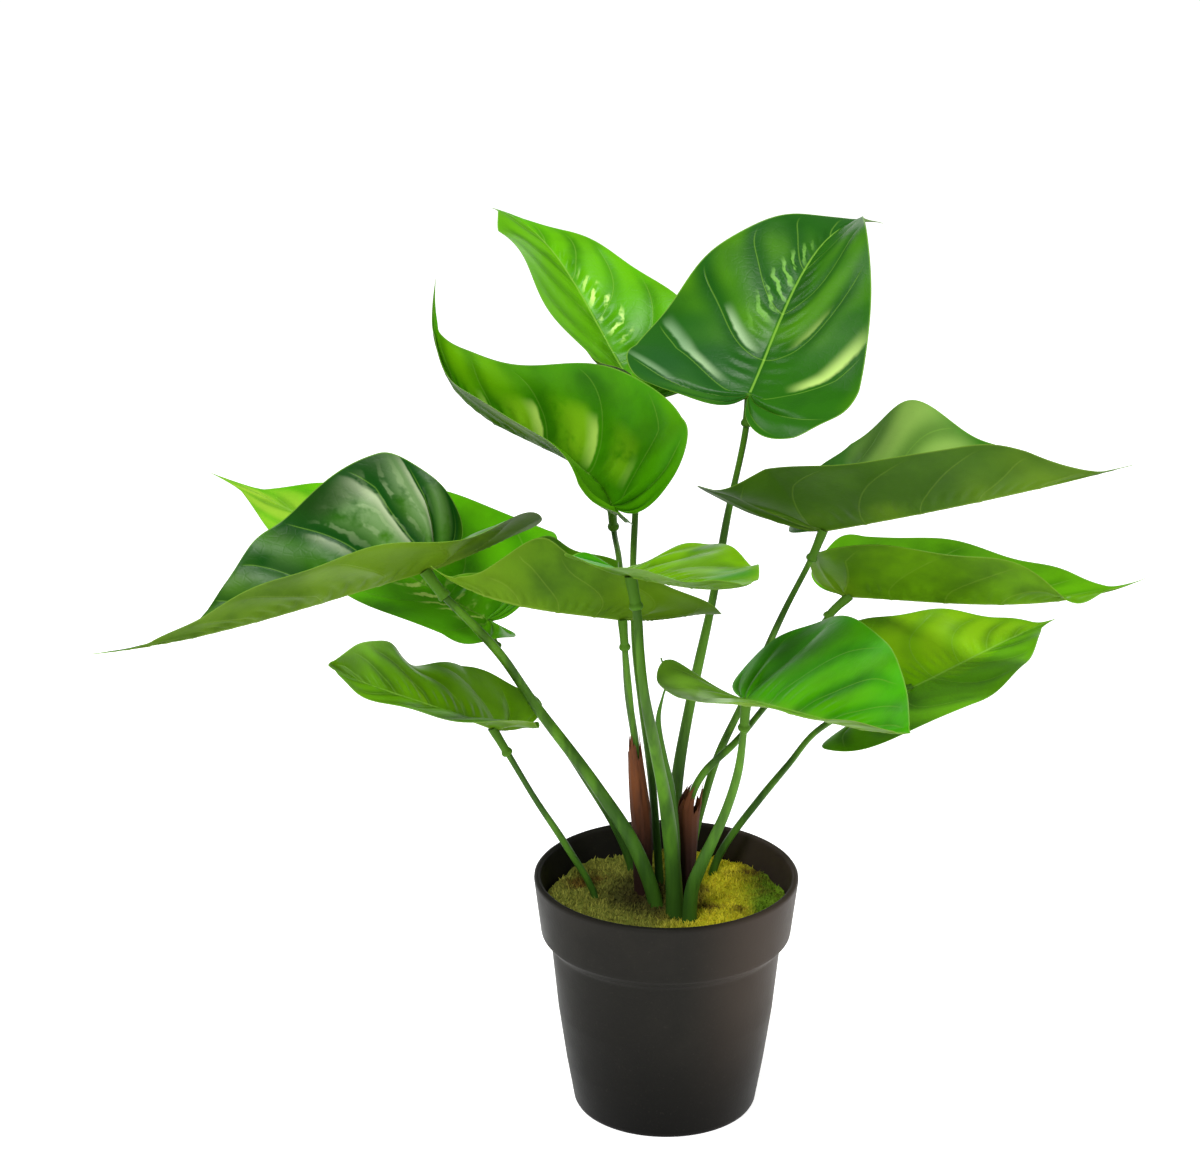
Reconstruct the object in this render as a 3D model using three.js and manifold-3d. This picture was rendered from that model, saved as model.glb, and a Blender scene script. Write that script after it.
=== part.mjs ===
// Potted anthurium: twelve heart-shaped leaves with long drip tips, each on its own slender stem,
// in a round pot. Lengths are in millimetres and angles in degrees. +Z is up, and the origin is the
// centre of the pot's underside.
import * as THREE from "three";
import { mergeVertices } from "three/addons/utils/BufferGeometryUtils.js";
import Module from "manifold-3d";

const wasm = await Module();
wasm.setup();

// Clearance between pieces that touch on the real plant.
const SEAT = 0.3;

// The pot tapers to its foot and carries a deeper collar under a rounded rim.
const POT_HEIGHT = 113;
const RIM_RADIUS = 60;
const COLLAR_FOOT_RADIUS = 57;
const COLLAR_FOOT_HEIGHT = 85;
const NECK_RADIUS = 52.5;
const NECK_HEIGHT = 80;
const FOOT_RADIUS = 42;
const POT_WALL = 2;
const POT_FLOOR = 3;
const RIM_WIDTH = 3;
const POT_SIDES = 36;
// Between foot and neck the side bulges a little: radius and height.
const POT_BULGE = [[45.5, 22], [49.2, 48]];

// The soil fills the pot to a mat of moss that lies a finger's width under the rim.
const MOSS_TOP = 100;
const MOSS_BOTTOM = 94;
const MOSS_RADIUS = 55;
const SOIL_TOP_RADIUS = 51.5;
const SOIL_FOOT_RADIUS = 39.4;
const MOSS_RINGS = 7;
const MOSS_SECTORS = 32;
const CUSHION_HEIGHT = 1.3;
const LUMP_HEIGHT = 0.7;
const STEM_DEPTH = 24;

// A blade is a thin sheet, and its collar is the short moulded sleeve that the stem meets.
const BLADE_THICKNESS = 0.7;
const BLADE_ROWS = 24;
const BLADE_COLUMNS = 3;
const VEIN_START = 0.3;
const VEIN_EASE = 1.05;
const RUFFLE_WIDTH = 0.075;
const RIPPLE_HEIGHT = 1.2;
const RIPPLE_COUNT = 5;
// A half narrower than this has less and less fold, so that the slender tip stays flat.
const FOLDING_WIDTH = 3;
const COLLAR_LENGTH = 15;
// Rings of the collar: distance from the junction, and how far each stands out from the stem.
const COLLAR_RINGS = [[0, 0.7], [3, 0.7], [7, 0.5], [12, 0.5], [13.6, 1.2], [COLLAR_LENGTH, 0.9]];
// A stem widens slowly at first and then faster towards its foot.
const STEM_FLARE = 1.3;
const STEM_SIDES = 8;
const STEM_RINGS = 12;
const SHEATH_SIDES = 12;

// Where the outline passes from the lobe to the shoulder and from the shoulder to the drip tip.
const LOBE_END = 0.2;
const WIDEST = 0.42;
const DRIP_START = 0.86;
// Stand-off of a plain lobe from the notch, and half width where the drip tip starts.
const PLAIN_SINUS = 0.42;
const DRIP_WIDTH = 0.07;

const BRIGHT_GREEN = 0x4c9a18;
const DEEP_GREEN = 0x2f7a1c;
const OLIVE_GREEN = 0x6b8a1e;
const STEM_GREEN = 0x4f7d1f;
const SHEATH_BROWN = 0x5e3518;
const POT_CHARCOAL = 0x2c2a27;
const SOIL_BROWN = 0x3b2d20;
const MOSS_GREEN = 0x71701f;

// Each leaf gives the junction of blade and stem, the tip, and the flat width of its two halves.
// Pairs are [left, right], looking from the junction to the tip with the upper face up.
// lobes: how far each basal lobe reaches back.
// sinus: how far the back of the lobe stands off the notch, 0 to 1.
// fold: how steeply each half rises from the midrib. foldAtTip: the same near the tip, where it differs.
// open: how much the fold slackens towards the back of the lobe.
// lift: how far the end of the lobe bends up.
// ruffle: height of a ruffle of the margin and its place from 0 to 1. drip: where the drip tip starts.
// bow and sway: how far the midrib's two inner control points stand above and to the left of the chord.
// route: the stem from the junction to the moss.
const PLAIN_LEAF = {
  roll: 0,
  sinus: [PLAIN_SINUS, PLAIN_SINUS],
  open: [0, 0],
  lift: [0, 0],
  ruffle: [[0, 0.5], [0, 0.5]],
  bow: [0, 0],
  sway: [0, 0],
  drip: [0.87, 0.87],
  stemTop: 1.5,
  stemBase: 2.2,
};

const LEAVES = [
  {
    name: "top_right", colour: BRIGHT_GREEN,
    junction: [35, 20, 333], tip: [100, 158, 377], halves: [57, 53], lobes: [28, 32],
    sinus: [0.6, 0.65], roll: -4,
    fold: [24, 6], foldAtTip: [26, 38], bow: [5, 38], sway: [6, 8], lift: [8, 0],
    ruffle: [[-9, 0.52], [0, 0.5]],
    route: [
      [33, 22, 313], [26, 27, 274], [20, 25, 236], [11, 20, 191],
      [5, 16, 154], [3, 13, 120], [3, 12, 98],
    ],
    stemBase: 3.8,
  },
  {
    name: "top_left", colour: BRIGHT_GREEN,
    junction: [-14, 52, 323], tip: [-84, 147, 386], halves: [54, 48], lobes: [6, 14], roll: 14,
    fold: [26, 32], foldAtTip: [8, 10], bow: [2, 24], lift: [6, 10], ruffle: [[-8, 0.8], [0, 0.5]],
    drip: [0.94, 0.87],
    route: [[-15, 46, 275], [-16, 40, 245], [-15, 35, 212], [-12, 30, 185], [-7, 23, 150], [-3, 20, 98]],
  },
  {
    name: "upper_left", colour: BRIGHT_GREEN,
    junction: [-25, 0, 288], tip: [-106, 80, 369], halves: [42, 55], lobes: [20, 16], roll: -14,
    fold: [50, 64], foldAtTip: [70, 68], bow: [0, -62], sway: [-12, 30], lift: [8, 4],
    ruffle: [[0, 0.5], [4, 0.56]],
    route: [
      [-24, 9, 272], [-22, 19, 256], [-20, 19, 229], [-18, 18, 195],
      [-14, 18, 166], [-11, 18, 128], [-10, 20, 98],
    ],
  },
  {
    name: "large_left", colour: DEEP_GREEN,
    junction: [-107, 0, 257], tip: [-241, -88, 250], halves: [40, 58], lobes: [50, 26],
    sinus: [0.6, 0.42],
    fold: [46, 48], foldAtTip: [66, 46], open: [6, 0], bow: [-2, -8], lift: [2, 0],
    ruffle: [[-6, 0.42], [-8, 0.58]], drip: [0.82, 0.68],
    route: [
      [-99, -3, 247], [-86, -5, 234], [-74, -3, 219], [-58, 8, 189],
      [-32, 1, 155], [-14, -5, 127], [-4.5, -6, 98],
    ],
    stemTop: 2, stemBase: 4,
  },
  {
    name: "back_left", colour: BRIGHT_GREEN,
    junction: [-83, 45, 218], tip: [-217, 115, 265], halves: [42, 53], lobes: [22, 14], roll: -14,
    fold: [23, 25], foldAtTip: [-12, 22], bow: [0, 6], lift: [6, 8], drip: [0.87, 0.82],
    route: [
      [-80, 44, 208], [-72, 43, 196], [-55, 39, 170],
      [-40, 36, 148], [-22, 32, 118], [-15, 30, 98],
    ],
    stemBase: 3,
  },
  {
    name: "centre", colour: OLIVE_GREEN,
    junction: [-20, -10, 239], tip: [-101, -45, 275], halves: [33, 30], lobes: [38, 4],
    fold: [50, 40], foldAtTip: [84, 66], open: [30, 6], bow: [-4, -12], lift: [8, 0],
    ruffle: [[14, 0.67], [11, 0.6]],
    route: [[-19, -9, 226], [-17, -6, 204], [-15, -1, 181], [-13, 4, 155], [-11, 7, 130], [-10.5, 9, 98]],
    stemBase: 2,
  },
  {
    name: "centre_front", colour: BRIGHT_GREEN,
    junction: [-16, -47, 272], tip: [33, -129, 298], halves: [44, 32], lobes: [16, 10],
    fold: [10, 24], bow: [-2, -6], lift: [0, 4], ruffle: [[-4, 0.55], [0, 0.5]], drip: [0.96, 0.95],
    route: [
      [-13, -48, 254], [-12, -50, 240], [-10, -50, 220], [-5, -38, 188],
      [0, -23, 154], [3, -14, 122], [4, -13, 98],
    ],
    stemTop: 2, stemBase: 4.6,
  },
  {
    name: "lower_left", colour: OLIVE_GREEN,
    junction: [-78, -5, 185], tip: [-143, -72, 240], halves: [24, 38], lobes: [12, 36],
    fold: [20, 34], foldAtTip: [-44, 92], bow: [0, -4], sway: [-6, -16], lift: [4, 10],
    ruffle: [[0, 0.5], [-14, 0.55]], drip: [0.95, 0.97],
    route: [[-70, -4, 170], [-59, -2, 149], [-45, 0, 125], [-32, 2, 98]],
    stemBase: 2,
  },
  {
    name: "upper_right", colour: OLIVE_GREEN,
    junction: [68, 10, 274], tip: [193, -54, 325], halves: [54, 50], lobes: [24, 32], sinus: [0.42, 0.9],
    fold: [28, 47], bow: [-2, -2], open: [0, 16], lift: [-6, 12], ruffle: [[18, 0.53], [9, 0.72]],
    drip: [0.79, 0.87],
    route: [
      [63, 9, 261], [51, 9, 235], [34, 13, 191], [23, 17, 163],
      [18, 14, 147], [12, 11, 122], [10.5, 10.5, 98],
    ],
    stemBase: 2.4,
  },
  {
    name: "middle_right", colour: OLIVE_GREEN,
    junction: [83, 53, 228], tip: [212, 20, 249], halves: [45, 43], lobes: [20, 14], sinus: [0.42, 0.25],
    fold: [20, 48], foldAtTip: [34, 74], bow: [-5, -16], lift: [0, 4], ruffle: [[0, 0.5], [-16, 0.82]],
    route: [
      [74, 50, 220], [56, 40, 194], [42, 28, 180], [30, 10, 172],
      [16.5, 4, 160], [11, 3, 148], [10, 2, 125], [10, 2, 98],
    ],
  },
  {
    name: "front_right", colour: BRIGHT_GREEN,
    junction: [34, -40, 213], tip: [97, -145, 241], halves: [57, 34], lobes: [27, 36],
    sinus: [0.42, 0.42],
    roll: 14, fold: [15, 26], foldAtTip: [28, 44], bow: [0, -6], lift: [0, 14], drip: [0.96, 0.94],
    route: [
      [33, -37, 195], [31, -31, 175], [26, -27, 155],
      [15.5, -23, 127], [11.5, -21, 114], [10.5, -21, 98],
    ],
    stemTop: 1.7, stemBase: 4.2,
  },
  {
    name: "back_right", colour: BRIGHT_GREEN,
    junction: [112, 40, 188], tip: [183, 98, 201], halves: [48, 39], lobes: [30, 66], roll: 8,
    fold: [12, 14], foldAtTip: [12, 16], bow: [0, 2], lift: [0, -2],
    route: [[92, 38, 182], [68, 35, 168], [56, 33, 153], [42, 31, 135], [26, 28, 112], [21, 27, 98]],
  },
];

// Two dry sheaths wrap stems of the crown. Each section is [height, outer radius], from the foot up.
const SHEATHS = [
  {
    name: "brown_sheath_left", leaf: "centre",
    sections: [[94.3, 4], [120, 5], [142, 5], [162, 4], [182, 2.8]],
  },
  {
    name: "brown_sheath_right", leaf: "middle_right",
    sections: [[94.3, 3.6], [118, 4], [132, 4.8], [146, 5.6], [156, 3.6]],
  },
];

// A young leaf is still rolled in its green spear, with a thin tendril at its point.
const SPEAR_ROUTE = [
  [4, -5, 98], [4, -4, 130], [1, -3, 157], [-2, -3, 171],
  [-4, -3, 189], [-2, -3, 200], [0, -3, 208], [-3, -3, 218],
];
const SPEAR_RADII = [1.8, 2.2, 2.4, 2.1, 1.2, 0.5, 0.5, 0.4];

const vector = ([x, y, z]) => new THREE.Vector3(x, y, z);
const radians = THREE.MathUtils.degToRad;
const clamp = THREE.MathUtils.clamp;
const lerp = THREE.MathUtils.lerp;

function material(colour, roughness) {
  return new THREE.MeshStandardMaterial({ color: colour, roughness, metalness: 0 });
}

function meshOf(name, geometry, colour, roughness) {
  geometry.computeVertexNormals();
  const mesh = new THREE.Mesh(geometry, material(colour, roughness));
  mesh.name = name;
  return mesh;
}

function geometryOf(points, triangles) {
  const geometry = new THREE.BufferGeometry();
  const numbers = points.flatMap((p) => [p.x, p.y, p.z]);
  geometry.setAttribute("position", new THREE.Float32BufferAttribute(numbers, 3));
  geometry.setIndex(triangles.flat());
  return geometry;
}

function solidOf(geometry) {
  const bare = geometry.clone();
  bare.deleteAttribute("normal");
  bare.deleteAttribute("uv");
  const merged = mergeVertices(bare);
  const mesh = new wasm.Mesh({
    numProp: 3,
    vertProperties: new Float32Array(merged.attributes.position.array),
    triVerts: new Uint32Array(merged.index.array),
  });
  return new wasm.Manifold(mesh);
}

// The largest body of a solid, without the closed specks that a bend can pinch off.
function geometryFrom(solid) {
  const bodies = solid.decompose().sort((a, b) => b.volume() - a.volume());
  const mesh = bodies[0].getMesh();
  const geometry = new THREE.BufferGeometry();
  geometry.setAttribute("position", new THREE.Float32BufferAttribute(mesh.vertProperties, 3));
  geometry.setIndex(new THREE.Uint32BufferAttribute(mesh.triVerts, 1));
  return geometry;
}

// One half of the flat outline, from the notch at the junction round the lobe to the tip. Four cubic
// curves meet smoothly at the back of the lobe, at the widest place and where the drip tip starts.
// x runs from -1 at the back of the lobe to 1 at the tip, and y is 1 where the half is widest.
function marginPoint(place, drip, sinus) {
  const notch = [[0, 0], [-0.3, 0.02], [-1.1, 0.06 + 0.4 * (sinus - PLAIN_SINUS)], [-1, sinus]];
  const lobe = [[-1, sinus], [-0.93, 0.54 + sinus / 2], [-0.55, 1], [0, 1]];
  const shoulder = [[0, 1], [0.4, 1], [drip - 0.21, 0.5], [drip, DRIP_WIDTH]];
  const point = [[drip, DRIP_WIDTH], [lerp(drip, 1, 0.25), 0.03], [lerp(drip, 1, 0.6), 0.015], [1, 0]];
  const stretches = [
    [0, LOBE_END, notch], [LOBE_END, WIDEST, lobe], [WIDEST, DRIP_START, shoulder], [DRIP_START, 1, point],
  ];
  const [from, to, corners] = stretches.find(([, end]) => place <= end) ?? stretches[3];
  const curve = new THREE.CubicBezierCurve(...corners.map(([x, y]) => new THREE.Vector2(x, y)));
  return curve.getPoint((place - from) / (to - from));
}

// The bent blade: maps a flat place (along the midrib, out from it) to its place in the air.
function bladeShape(leaf) {
  const junction = vector(leaf.junction);
  const chord = vector(leaf.tip).sub(junction);
  const length = chord.length();
  const ahead = chord.clone().normalize();
  const level = new THREE.Vector3(0, 0, 1).addScaledVector(ahead, -ahead.z).normalize();
  const roll = radians(leaf.roll);
  const left = new THREE.Vector3().crossVectors(level, ahead).multiplyScalar(Math.cos(roll));
  left.addScaledVector(level, Math.sin(roll));
  const up = new THREE.Vector3().crossVectors(ahead, left);

  return (side, place, out) => {
    const margin = marginPoint(place, leaf.drip[side], leaf.sinus[side]);
    const back = leaf.lobes[side];
    const reach = margin.x < 0 ? margin.x * back : margin.x * length;
    const start = length * clamp((place - VEIN_START) / (1 - VEIN_START), 0, 1) ** VEIN_EASE;
    const along = lerp(start, reach, out);
    const across = margin.y * leaf.halves[side] * out;
    const ahead01 = clamp(along / length, 0, 1);
    const behind01 = clamp(-along / back, 0, 1);
    const first = 3 * (1 - ahead01) ** 2 * ahead01;
    const second = 3 * (1 - ahead01) * ahead01 ** 2;
    // Behind the junction the lobes go on straight along the midrib's first direction.
    const behind = (Math.min(along, 0) * 3 * leaf.bow[0]) / length;
    const rise = leaf.bow[0] * first + leaf.bow[1] * second + behind;
    const shift = leaf.sway[0] * first + leaf.sway[1] * second;
    const folding = margin.x < 0 ? 1 : Math.min(1, (margin.y * leaf.halves[side]) / FOLDING_WIDTH);
    const fold = lerp(leaf.fold[side], leaf.foldAtTip[side], ahead01) - leaf.open[side] * behind01;
    const tilt = radians(fold * folding);
    const [ruffleHeight, rufflePlace] = leaf.ruffle[side];
    const ruffle = ruffleHeight * Math.exp(-(((place - rufflePlace) / RUFFLE_WIDTH) ** 2));
    // The ripple starts elsewhere on each half and on each leaf.
    const turns = RIPPLE_COUNT * place + 0.37 * side + 0.1 * leaf.bow[0];
    const ripple = RIPPLE_HEIGHT * Math.sin(2 * Math.PI * turns);
    const margins = (ruffle + ripple) * out ** 2 * Math.min(1, 3 * margin.y);
    const sideways = (side === 0 ? 1 : -1) * across * Math.cos(tilt);
    const height = rise + across * Math.sin(tilt) + leaf.lift[side] * behind01 ** 2 + margins;
    return junction.clone().addScaledVector(ahead, along).addScaledVector(left, shift + sideways)
      .addScaledVector(up, height);
  };
}

// A sheet of the two halves that share the midrib, thickened evenly to both sides into one closed solid.
function bladeGeometry(leaf) {
  const shape = bladeShape(leaf);
  const points = [];
  const indexOf = new Map();
  const vertex = (side, row, column) => {
    const atJunction = column === 0 && row / BLADE_ROWS <= VEIN_START;
    let key = `${side} ${row} ${column}`;
    if (column === 0) key = `midrib ${row}`;
    if (atJunction) key = "junction";
    if (row === BLADE_ROWS) key = "tip";
    if (!indexOf.has(key)) {
      indexOf.set(key, points.length);
      points.push(shape(side, row / BLADE_ROWS, column / BLADE_COLUMNS));
    }
    return indexOf.get(key);
  };
  const sheet = [];
  const addTriangle = (a, b, c) => {
    if (a !== b && b !== c && c !== a) sheet.push([a, b, c]);
  };
  // The notch's edge runs from the junction along the first row, so the sheet has no row 0.
  for (const side of [0, 1]) {
    for (let row = 1; row < BLADE_ROWS; row += 1) {
      for (let column = 0; column < BLADE_COLUMNS; column += 1) {
        const a = vertex(side, row, column);
        const b = vertex(side, row + 1, column);
        const c = vertex(side, row + 1, column + 1);
        const d = vertex(side, row, column + 1);
        if (side === 0) {
          addTriangle(a, b, c);
          addTriangle(a, c, d);
        } else {
          addTriangle(a, c, b);
          addTriangle(a, d, c);
        }
      }
    }
  }
  return thicken(points, sheet, BLADE_THICKNESS);
}

function thicken(points, sheet, thickness) {
  const normals = points.map(() => new THREE.Vector3());
  for (const [a, b, c] of sheet) {
    const edge = points[b].clone().sub(points[a]);
    const face = edge.cross(points[c].clone().sub(points[a]));
    for (const corner of [a, b, c]) normals[corner].add(face);
  }
  normals.forEach((normal) => normal.normalize());
  const count = points.length;
  const upper = points.map((point, i) => point.clone().addScaledVector(normals[i], thickness / 2));
  const lower = points.map((point, i) => point.clone().addScaledVector(normals[i], -thickness / 2));
  const edges = new Set(sheet.flatMap(([a, b, c]) => [`${a} ${b}`, `${b} ${c}`, `${c} ${a}`]));
  const triangles = [];
  for (const [a, b, c] of sheet) {
    triangles.push([a, b, c], [a + count, c + count, b + count]);
    for (const [from, to] of [[a, b], [b, c], [c, a]]) {
      if (!edges.has(`${to} ${from}`)) {
        triangles.push([from, from + count, to + count], [from, to + count, to]);
      }
    }
  }
  return geometryOf([...upper, ...lower], triangles);
}

// A closed tube of rings. Each ring is a centre with its radius, and neighbouring rings share one frame.
function tubeGeometry(curve, places, radii, sides) {
  const frames = curve.computeFrenetFrames(100);
  const points = [];
  places.forEach((place, i) => {
    const centre = curve.getPointAt(place);
    const frame = Math.round(place * 100);
    for (let k = 0; k < sides; k += 1) {
      const turn = (2 * Math.PI * k) / sides;
      const spoke = frames.normals[frame].clone().multiplyScalar(Math.cos(turn) * radii[i]);
      spoke.addScaledVector(frames.binormals[frame], Math.sin(turn) * radii[i]);
      points.push(centre.clone().add(spoke));
    }
  });
  const triangles = [];
  const last = (places.length - 1) * sides;
  for (let k = 0; k < sides; k += 1) {
    const next = (k + 1) % sides;
    for (let ring = 0; ring < last; ring += sides) {
      triangles.push([ring + k, ring + next, ring + sides + next]);
      triangles.push([ring + k, ring + sides + next, ring + sides + k]);
    }
    if (k > 0 && k < sides - 1) triangles.push([0, k + 1, k], [last, last + k, last + k + 1]);
  }
  return geometryOf(points, triangles);
}

function spread(from, to, count) {
  return Array.from({ length: count }, (_, i) => lerp(from, to, i / (count - 1)));
}

// The stem's whole run, from the junction down to its end in the soil.
function stemCurve(leaf) {
  const [x, y] = leaf.route.at(-1);
  const end = [x, y, MOSS_TOP - STEM_DEPTH];
  return new THREE.CatmullRomCurve3([leaf.junction, ...leaf.route, end].map(vector), false, "centripetal");
}

// Rings of the stem below its collar. The radius grows slowly and then faster towards the foot.
function stemRings(leaf, curve) {
  const top = (COLLAR_LENGTH + SEAT) / curve.getLength();
  const places = spread(top, 1, STEM_RINGS);
  const radii = places.map((place) => {
    const share = (place - top) / (1 - top);
    return lerp(leaf.stemTop, leaf.stemBase, share ** STEM_FLARE);
  });
  return { places, radii };
}

// The collar widens into the blade at its top and ends in a small knob.
function collarGeometry(leaf, curve) {
  const length = curve.getLength();
  const places = COLLAR_RINGS.map(([distance]) => distance / length);
  const radii = COLLAR_RINGS.map(([, swell]) => leaf.stemTop + swell);
  return tubeGeometry(curve, places, radii, STEM_SIDES);
}

function leafMesh(leaf) {
  const blade = solidOf(bladeGeometry(leaf));
  const collar = solidOf(collarGeometry(leaf, stemCurve(leaf)));
  return meshOf(`leaf_${leaf.name}`, geometryFrom(blade.add(collar)), leaf.colour, 0.35);
}

function stemMesh(leaf) {
  const curve = stemCurve(leaf);
  const { places, radii } = stemRings(leaf, curve);
  return meshOf(`stem_${leaf.name}`, tubeGeometry(curve, places, radii, STEM_SIDES), STEM_GREEN, 0.45);
}

// The room that a stem needs in the soil, moss or sheath round it: the same rings, a little wider.
function stemRoom(leaf) {
  const curve = stemCurve(leaf);
  const { places, radii } = stemRings(leaf, curve);
  const wider = radii.map((radius) => radius + SEAT / Math.cos(Math.PI / STEM_SIDES));
  const room = solidOf(tubeGeometry(curve, places, wider, STEM_SIDES));
  return room.add(footRoom(leaf.route.at(-1), leaf.stemBase));
}

// A wider well round the buried end of a stem.
function footRoom([x, y], radius) {
  const well = new THREE.CylinderGeometry(radius + 2 * SEAT, radius + 2 * SEAT, 5 * SEAT, STEM_SIDES);
  return solidOf(well.rotateX(Math.PI / 2).translate(x, y, MOSS_TOP - STEM_DEPTH));
}

// Places along a stem where it passes the given heights, found by halving.
function placeAtHeight(curve, height) {
  let upper = 0;
  let lower = 1;
  for (let i = 0; i < 40; i += 1) {
    const middle = (upper + lower) / 2;
    if (curve.getPointAt(middle).z > height) upper = middle;
    else lower = middle;
  }
  return lower;
}

function sheathGeometry(leaf, sections) {
  const curve = stemCurve(leaf);
  const fromTop = [...sections].reverse();
  const places = fromTop.map(([height]) => placeAtHeight(curve, height));
  return tubeGeometry(curve, places, fromTop.map(([, radius]) => radius), SHEATH_SIDES);
}

// The room that a sheath needs in the moss.
function sheathRoom(sheath) {
  const [[foot, radius]] = sheath.sections;
  const wide = radius + 2 * SEAT;
  return solidOf(sheathGeometry(LEAF_OF[sheath.leaf], [[foot - 2, wide], [MOSS_TOP + 6, wide]]));
}

function sheathMesh(sheath) {
  const leaf = LEAF_OF[sheath.leaf];
  const wrapped = solidOf(sheathGeometry(leaf, sheath.sections)).subtract(stemRoom(leaf));
  return meshOf(sheath.name, geometryFrom(wrapped), SHEATH_BROWN, 0.7);
}

function spearCurve() {
  const [x, y] = SPEAR_ROUTE[0];
  const foot = [x, y, MOSS_TOP - STEM_DEPTH];
  return new THREE.CatmullRomCurve3([foot, ...SPEAR_ROUTE].map(vector), false, "centripetal");
}

function spearGeometry(growth) {
  const curve = spearCurve();
  const radii = [SPEAR_RADII[0], ...SPEAR_RADII];
  const rings = 22;
  const places = spread(0, 1, rings);
  const heights = [MOSS_TOP - STEM_DEPTH, ...SPEAR_ROUTE.map(([, , z]) => z)];
  const ringRadii = places.map((place) => {
    const z = curve.getPointAt(place).z;
    const above = heights.findIndex((height) => height >= z - 0.001);
    const i = Math.max(1, above);
    const share = clamp((z - heights[i - 1]) / (heights[i] - heights[i - 1]), 0, 1);
    return lerp(radii[i - 1], radii[i], share) + growth;
  });
  return tubeGeometry(curve, places, ringRadii, STEM_SIDES);
}

function revolve(profile) {
  const geometry = new THREE.LatheGeometry(profile.map(([r, z]) => new THREE.Vector2(r, z)), POT_SIDES);
  return geometry.rotateX(Math.PI / 2);
}

// Outside of the pot from the foot up, over the rounded rim and down the inside to the floor.
function potMesh() {
  const inner = (radius) => radius - POT_WALL - 0.2;
  const profile = [
    [0, 0], [FOOT_RADIUS - 1.5, 0], [FOOT_RADIUS, 1.5], ...POT_BULGE, [NECK_RADIUS, NECK_HEIGHT],
    [COLLAR_FOOT_RADIUS - 0.4, COLLAR_FOOT_HEIGHT], [COLLAR_FOOT_RADIUS, COLLAR_FOOT_HEIGHT + 1],
    [RIM_RADIUS, POT_HEIGHT - 2], [RIM_RADIUS - 0.5, POT_HEIGHT - 0.5], [RIM_RADIUS - 1.5, POT_HEIGHT],
    [RIM_RADIUS - RIM_WIDTH, POT_HEIGHT - 1], [RIM_RADIUS - RIM_WIDTH - 0.2, POT_HEIGHT - 3],
    [inner(COLLAR_FOOT_RADIUS), COLLAR_FOOT_HEIGHT + 2], [inner(NECK_RADIUS), NECK_HEIGHT + 1],
    [inner(FOOT_RADIUS), POT_FLOOR], [0, POT_FLOOR],
  ];
  return meshOf("pot", revolve(profile), POT_CHARCOAL, 0.5);
}

function soilSolid() {
  const profile = [
    [0, POT_FLOOR + SEAT], [SOIL_FOOT_RADIUS, POT_FLOOR + SEAT], [SOIL_TOP_RADIUS, MOSS_BOTTOM - SEAT],
    [0, MOSS_BOTTOM - SEAT],
  ];
  return solidOf(revolve(profile));
}

// Low cushions of moss: two long waves with a shorter one on top.
function mossHeight(x, y) {
  const cushions = CUSHION_HEIGHT * Math.sin(0.13 * x + 1) * Math.cos(0.15 * y - 0.4);
  const lumps = LUMP_HEIGHT * Math.sin(0.33 * x + 0.21 * y) * Math.cos(0.27 * y - 0.3 * x);
  return MOSS_TOP + cushions + lumps;
}

function mossSolid() {
  const points = [new THREE.Vector3(0, 0, mossHeight(0, 0)), new THREE.Vector3(0, 0, MOSS_BOTTOM)];
  const ringStart = (ring) => 2 + (ring - 1) * MOSS_SECTORS;
  for (let ring = 1; ring <= MOSS_RINGS + 1; ring += 1) {
    const onFloor = ring > MOSS_RINGS;
    const radius = onFloor ? MOSS_RADIUS - 0.4 : MOSS_RADIUS * (ring / MOSS_RINGS) ** 0.9;
    for (let k = 0; k < MOSS_SECTORS; k += 1) {
      const turn = (2 * Math.PI * k) / MOSS_SECTORS;
      const x = radius * Math.cos(turn);
      const y = radius * Math.sin(turn);
      points.push(new THREE.Vector3(x, y, onFloor ? MOSS_BOTTOM : mossHeight(x, y)));
    }
  }
  const triangles = [];
  for (let k = 0; k < MOSS_SECTORS; k += 1) {
    const next = (k + 1) % MOSS_SECTORS;
    triangles.push([0, ringStart(1) + k, ringStart(1) + next]);
    for (let ring = 1; ring <= MOSS_RINGS; ring += 1) {
      const a = ringStart(ring);
      const b = ringStart(ring + 1);
      triangles.push([a + k, b + k, b + next], [a + k, b + next, a + next]);
    }
    triangles.push([1, ringStart(MOSS_RINGS + 1) + next, ringStart(MOSS_RINGS + 1) + k]);
  }
  return solidOf(geometryOf(points, triangles));
}

for (const leaf of LEAVES) Object.assign(leaf, { ...PLAIN_LEAF, foldAtTip: leaf.fold, ...leaf });
const LEAF_OF = Object.fromEntries(LEAVES.map((leaf) => [leaf.name, leaf]));

// Plain holes for every stem and the spear. The sheaths stand on the soil, in the moss only.
let holes = solidOf(spearGeometry(SEAT)).add(footRoom(SPEAR_ROUTE[0], SPEAR_RADII[0]));
for (const leaf of LEAVES) holes = holes.add(stemRoom(leaf));
let mossHoles = holes;
for (const sheath of SHEATHS) mossHoles = mossHoles.add(sheathRoom(sheath));

const plant = new THREE.Group();
plant.add(potMesh());
plant.add(meshOf("soil", geometryFrom(soilSolid().subtract(holes)), SOIL_BROWN, 0.95));
plant.add(meshOf("moss", geometryFrom(mossSolid().subtract(mossHoles)), MOSS_GREEN, 0.95));
for (const leaf of LEAVES) plant.add(leafMesh(leaf), stemMesh(leaf));
for (const sheath of SHEATHS) plant.add(sheathMesh(sheath));
plant.add(meshOf("leaf_spear", spearGeometry(0), DEEP_GREEN, 0.4));

export default plant;
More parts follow.
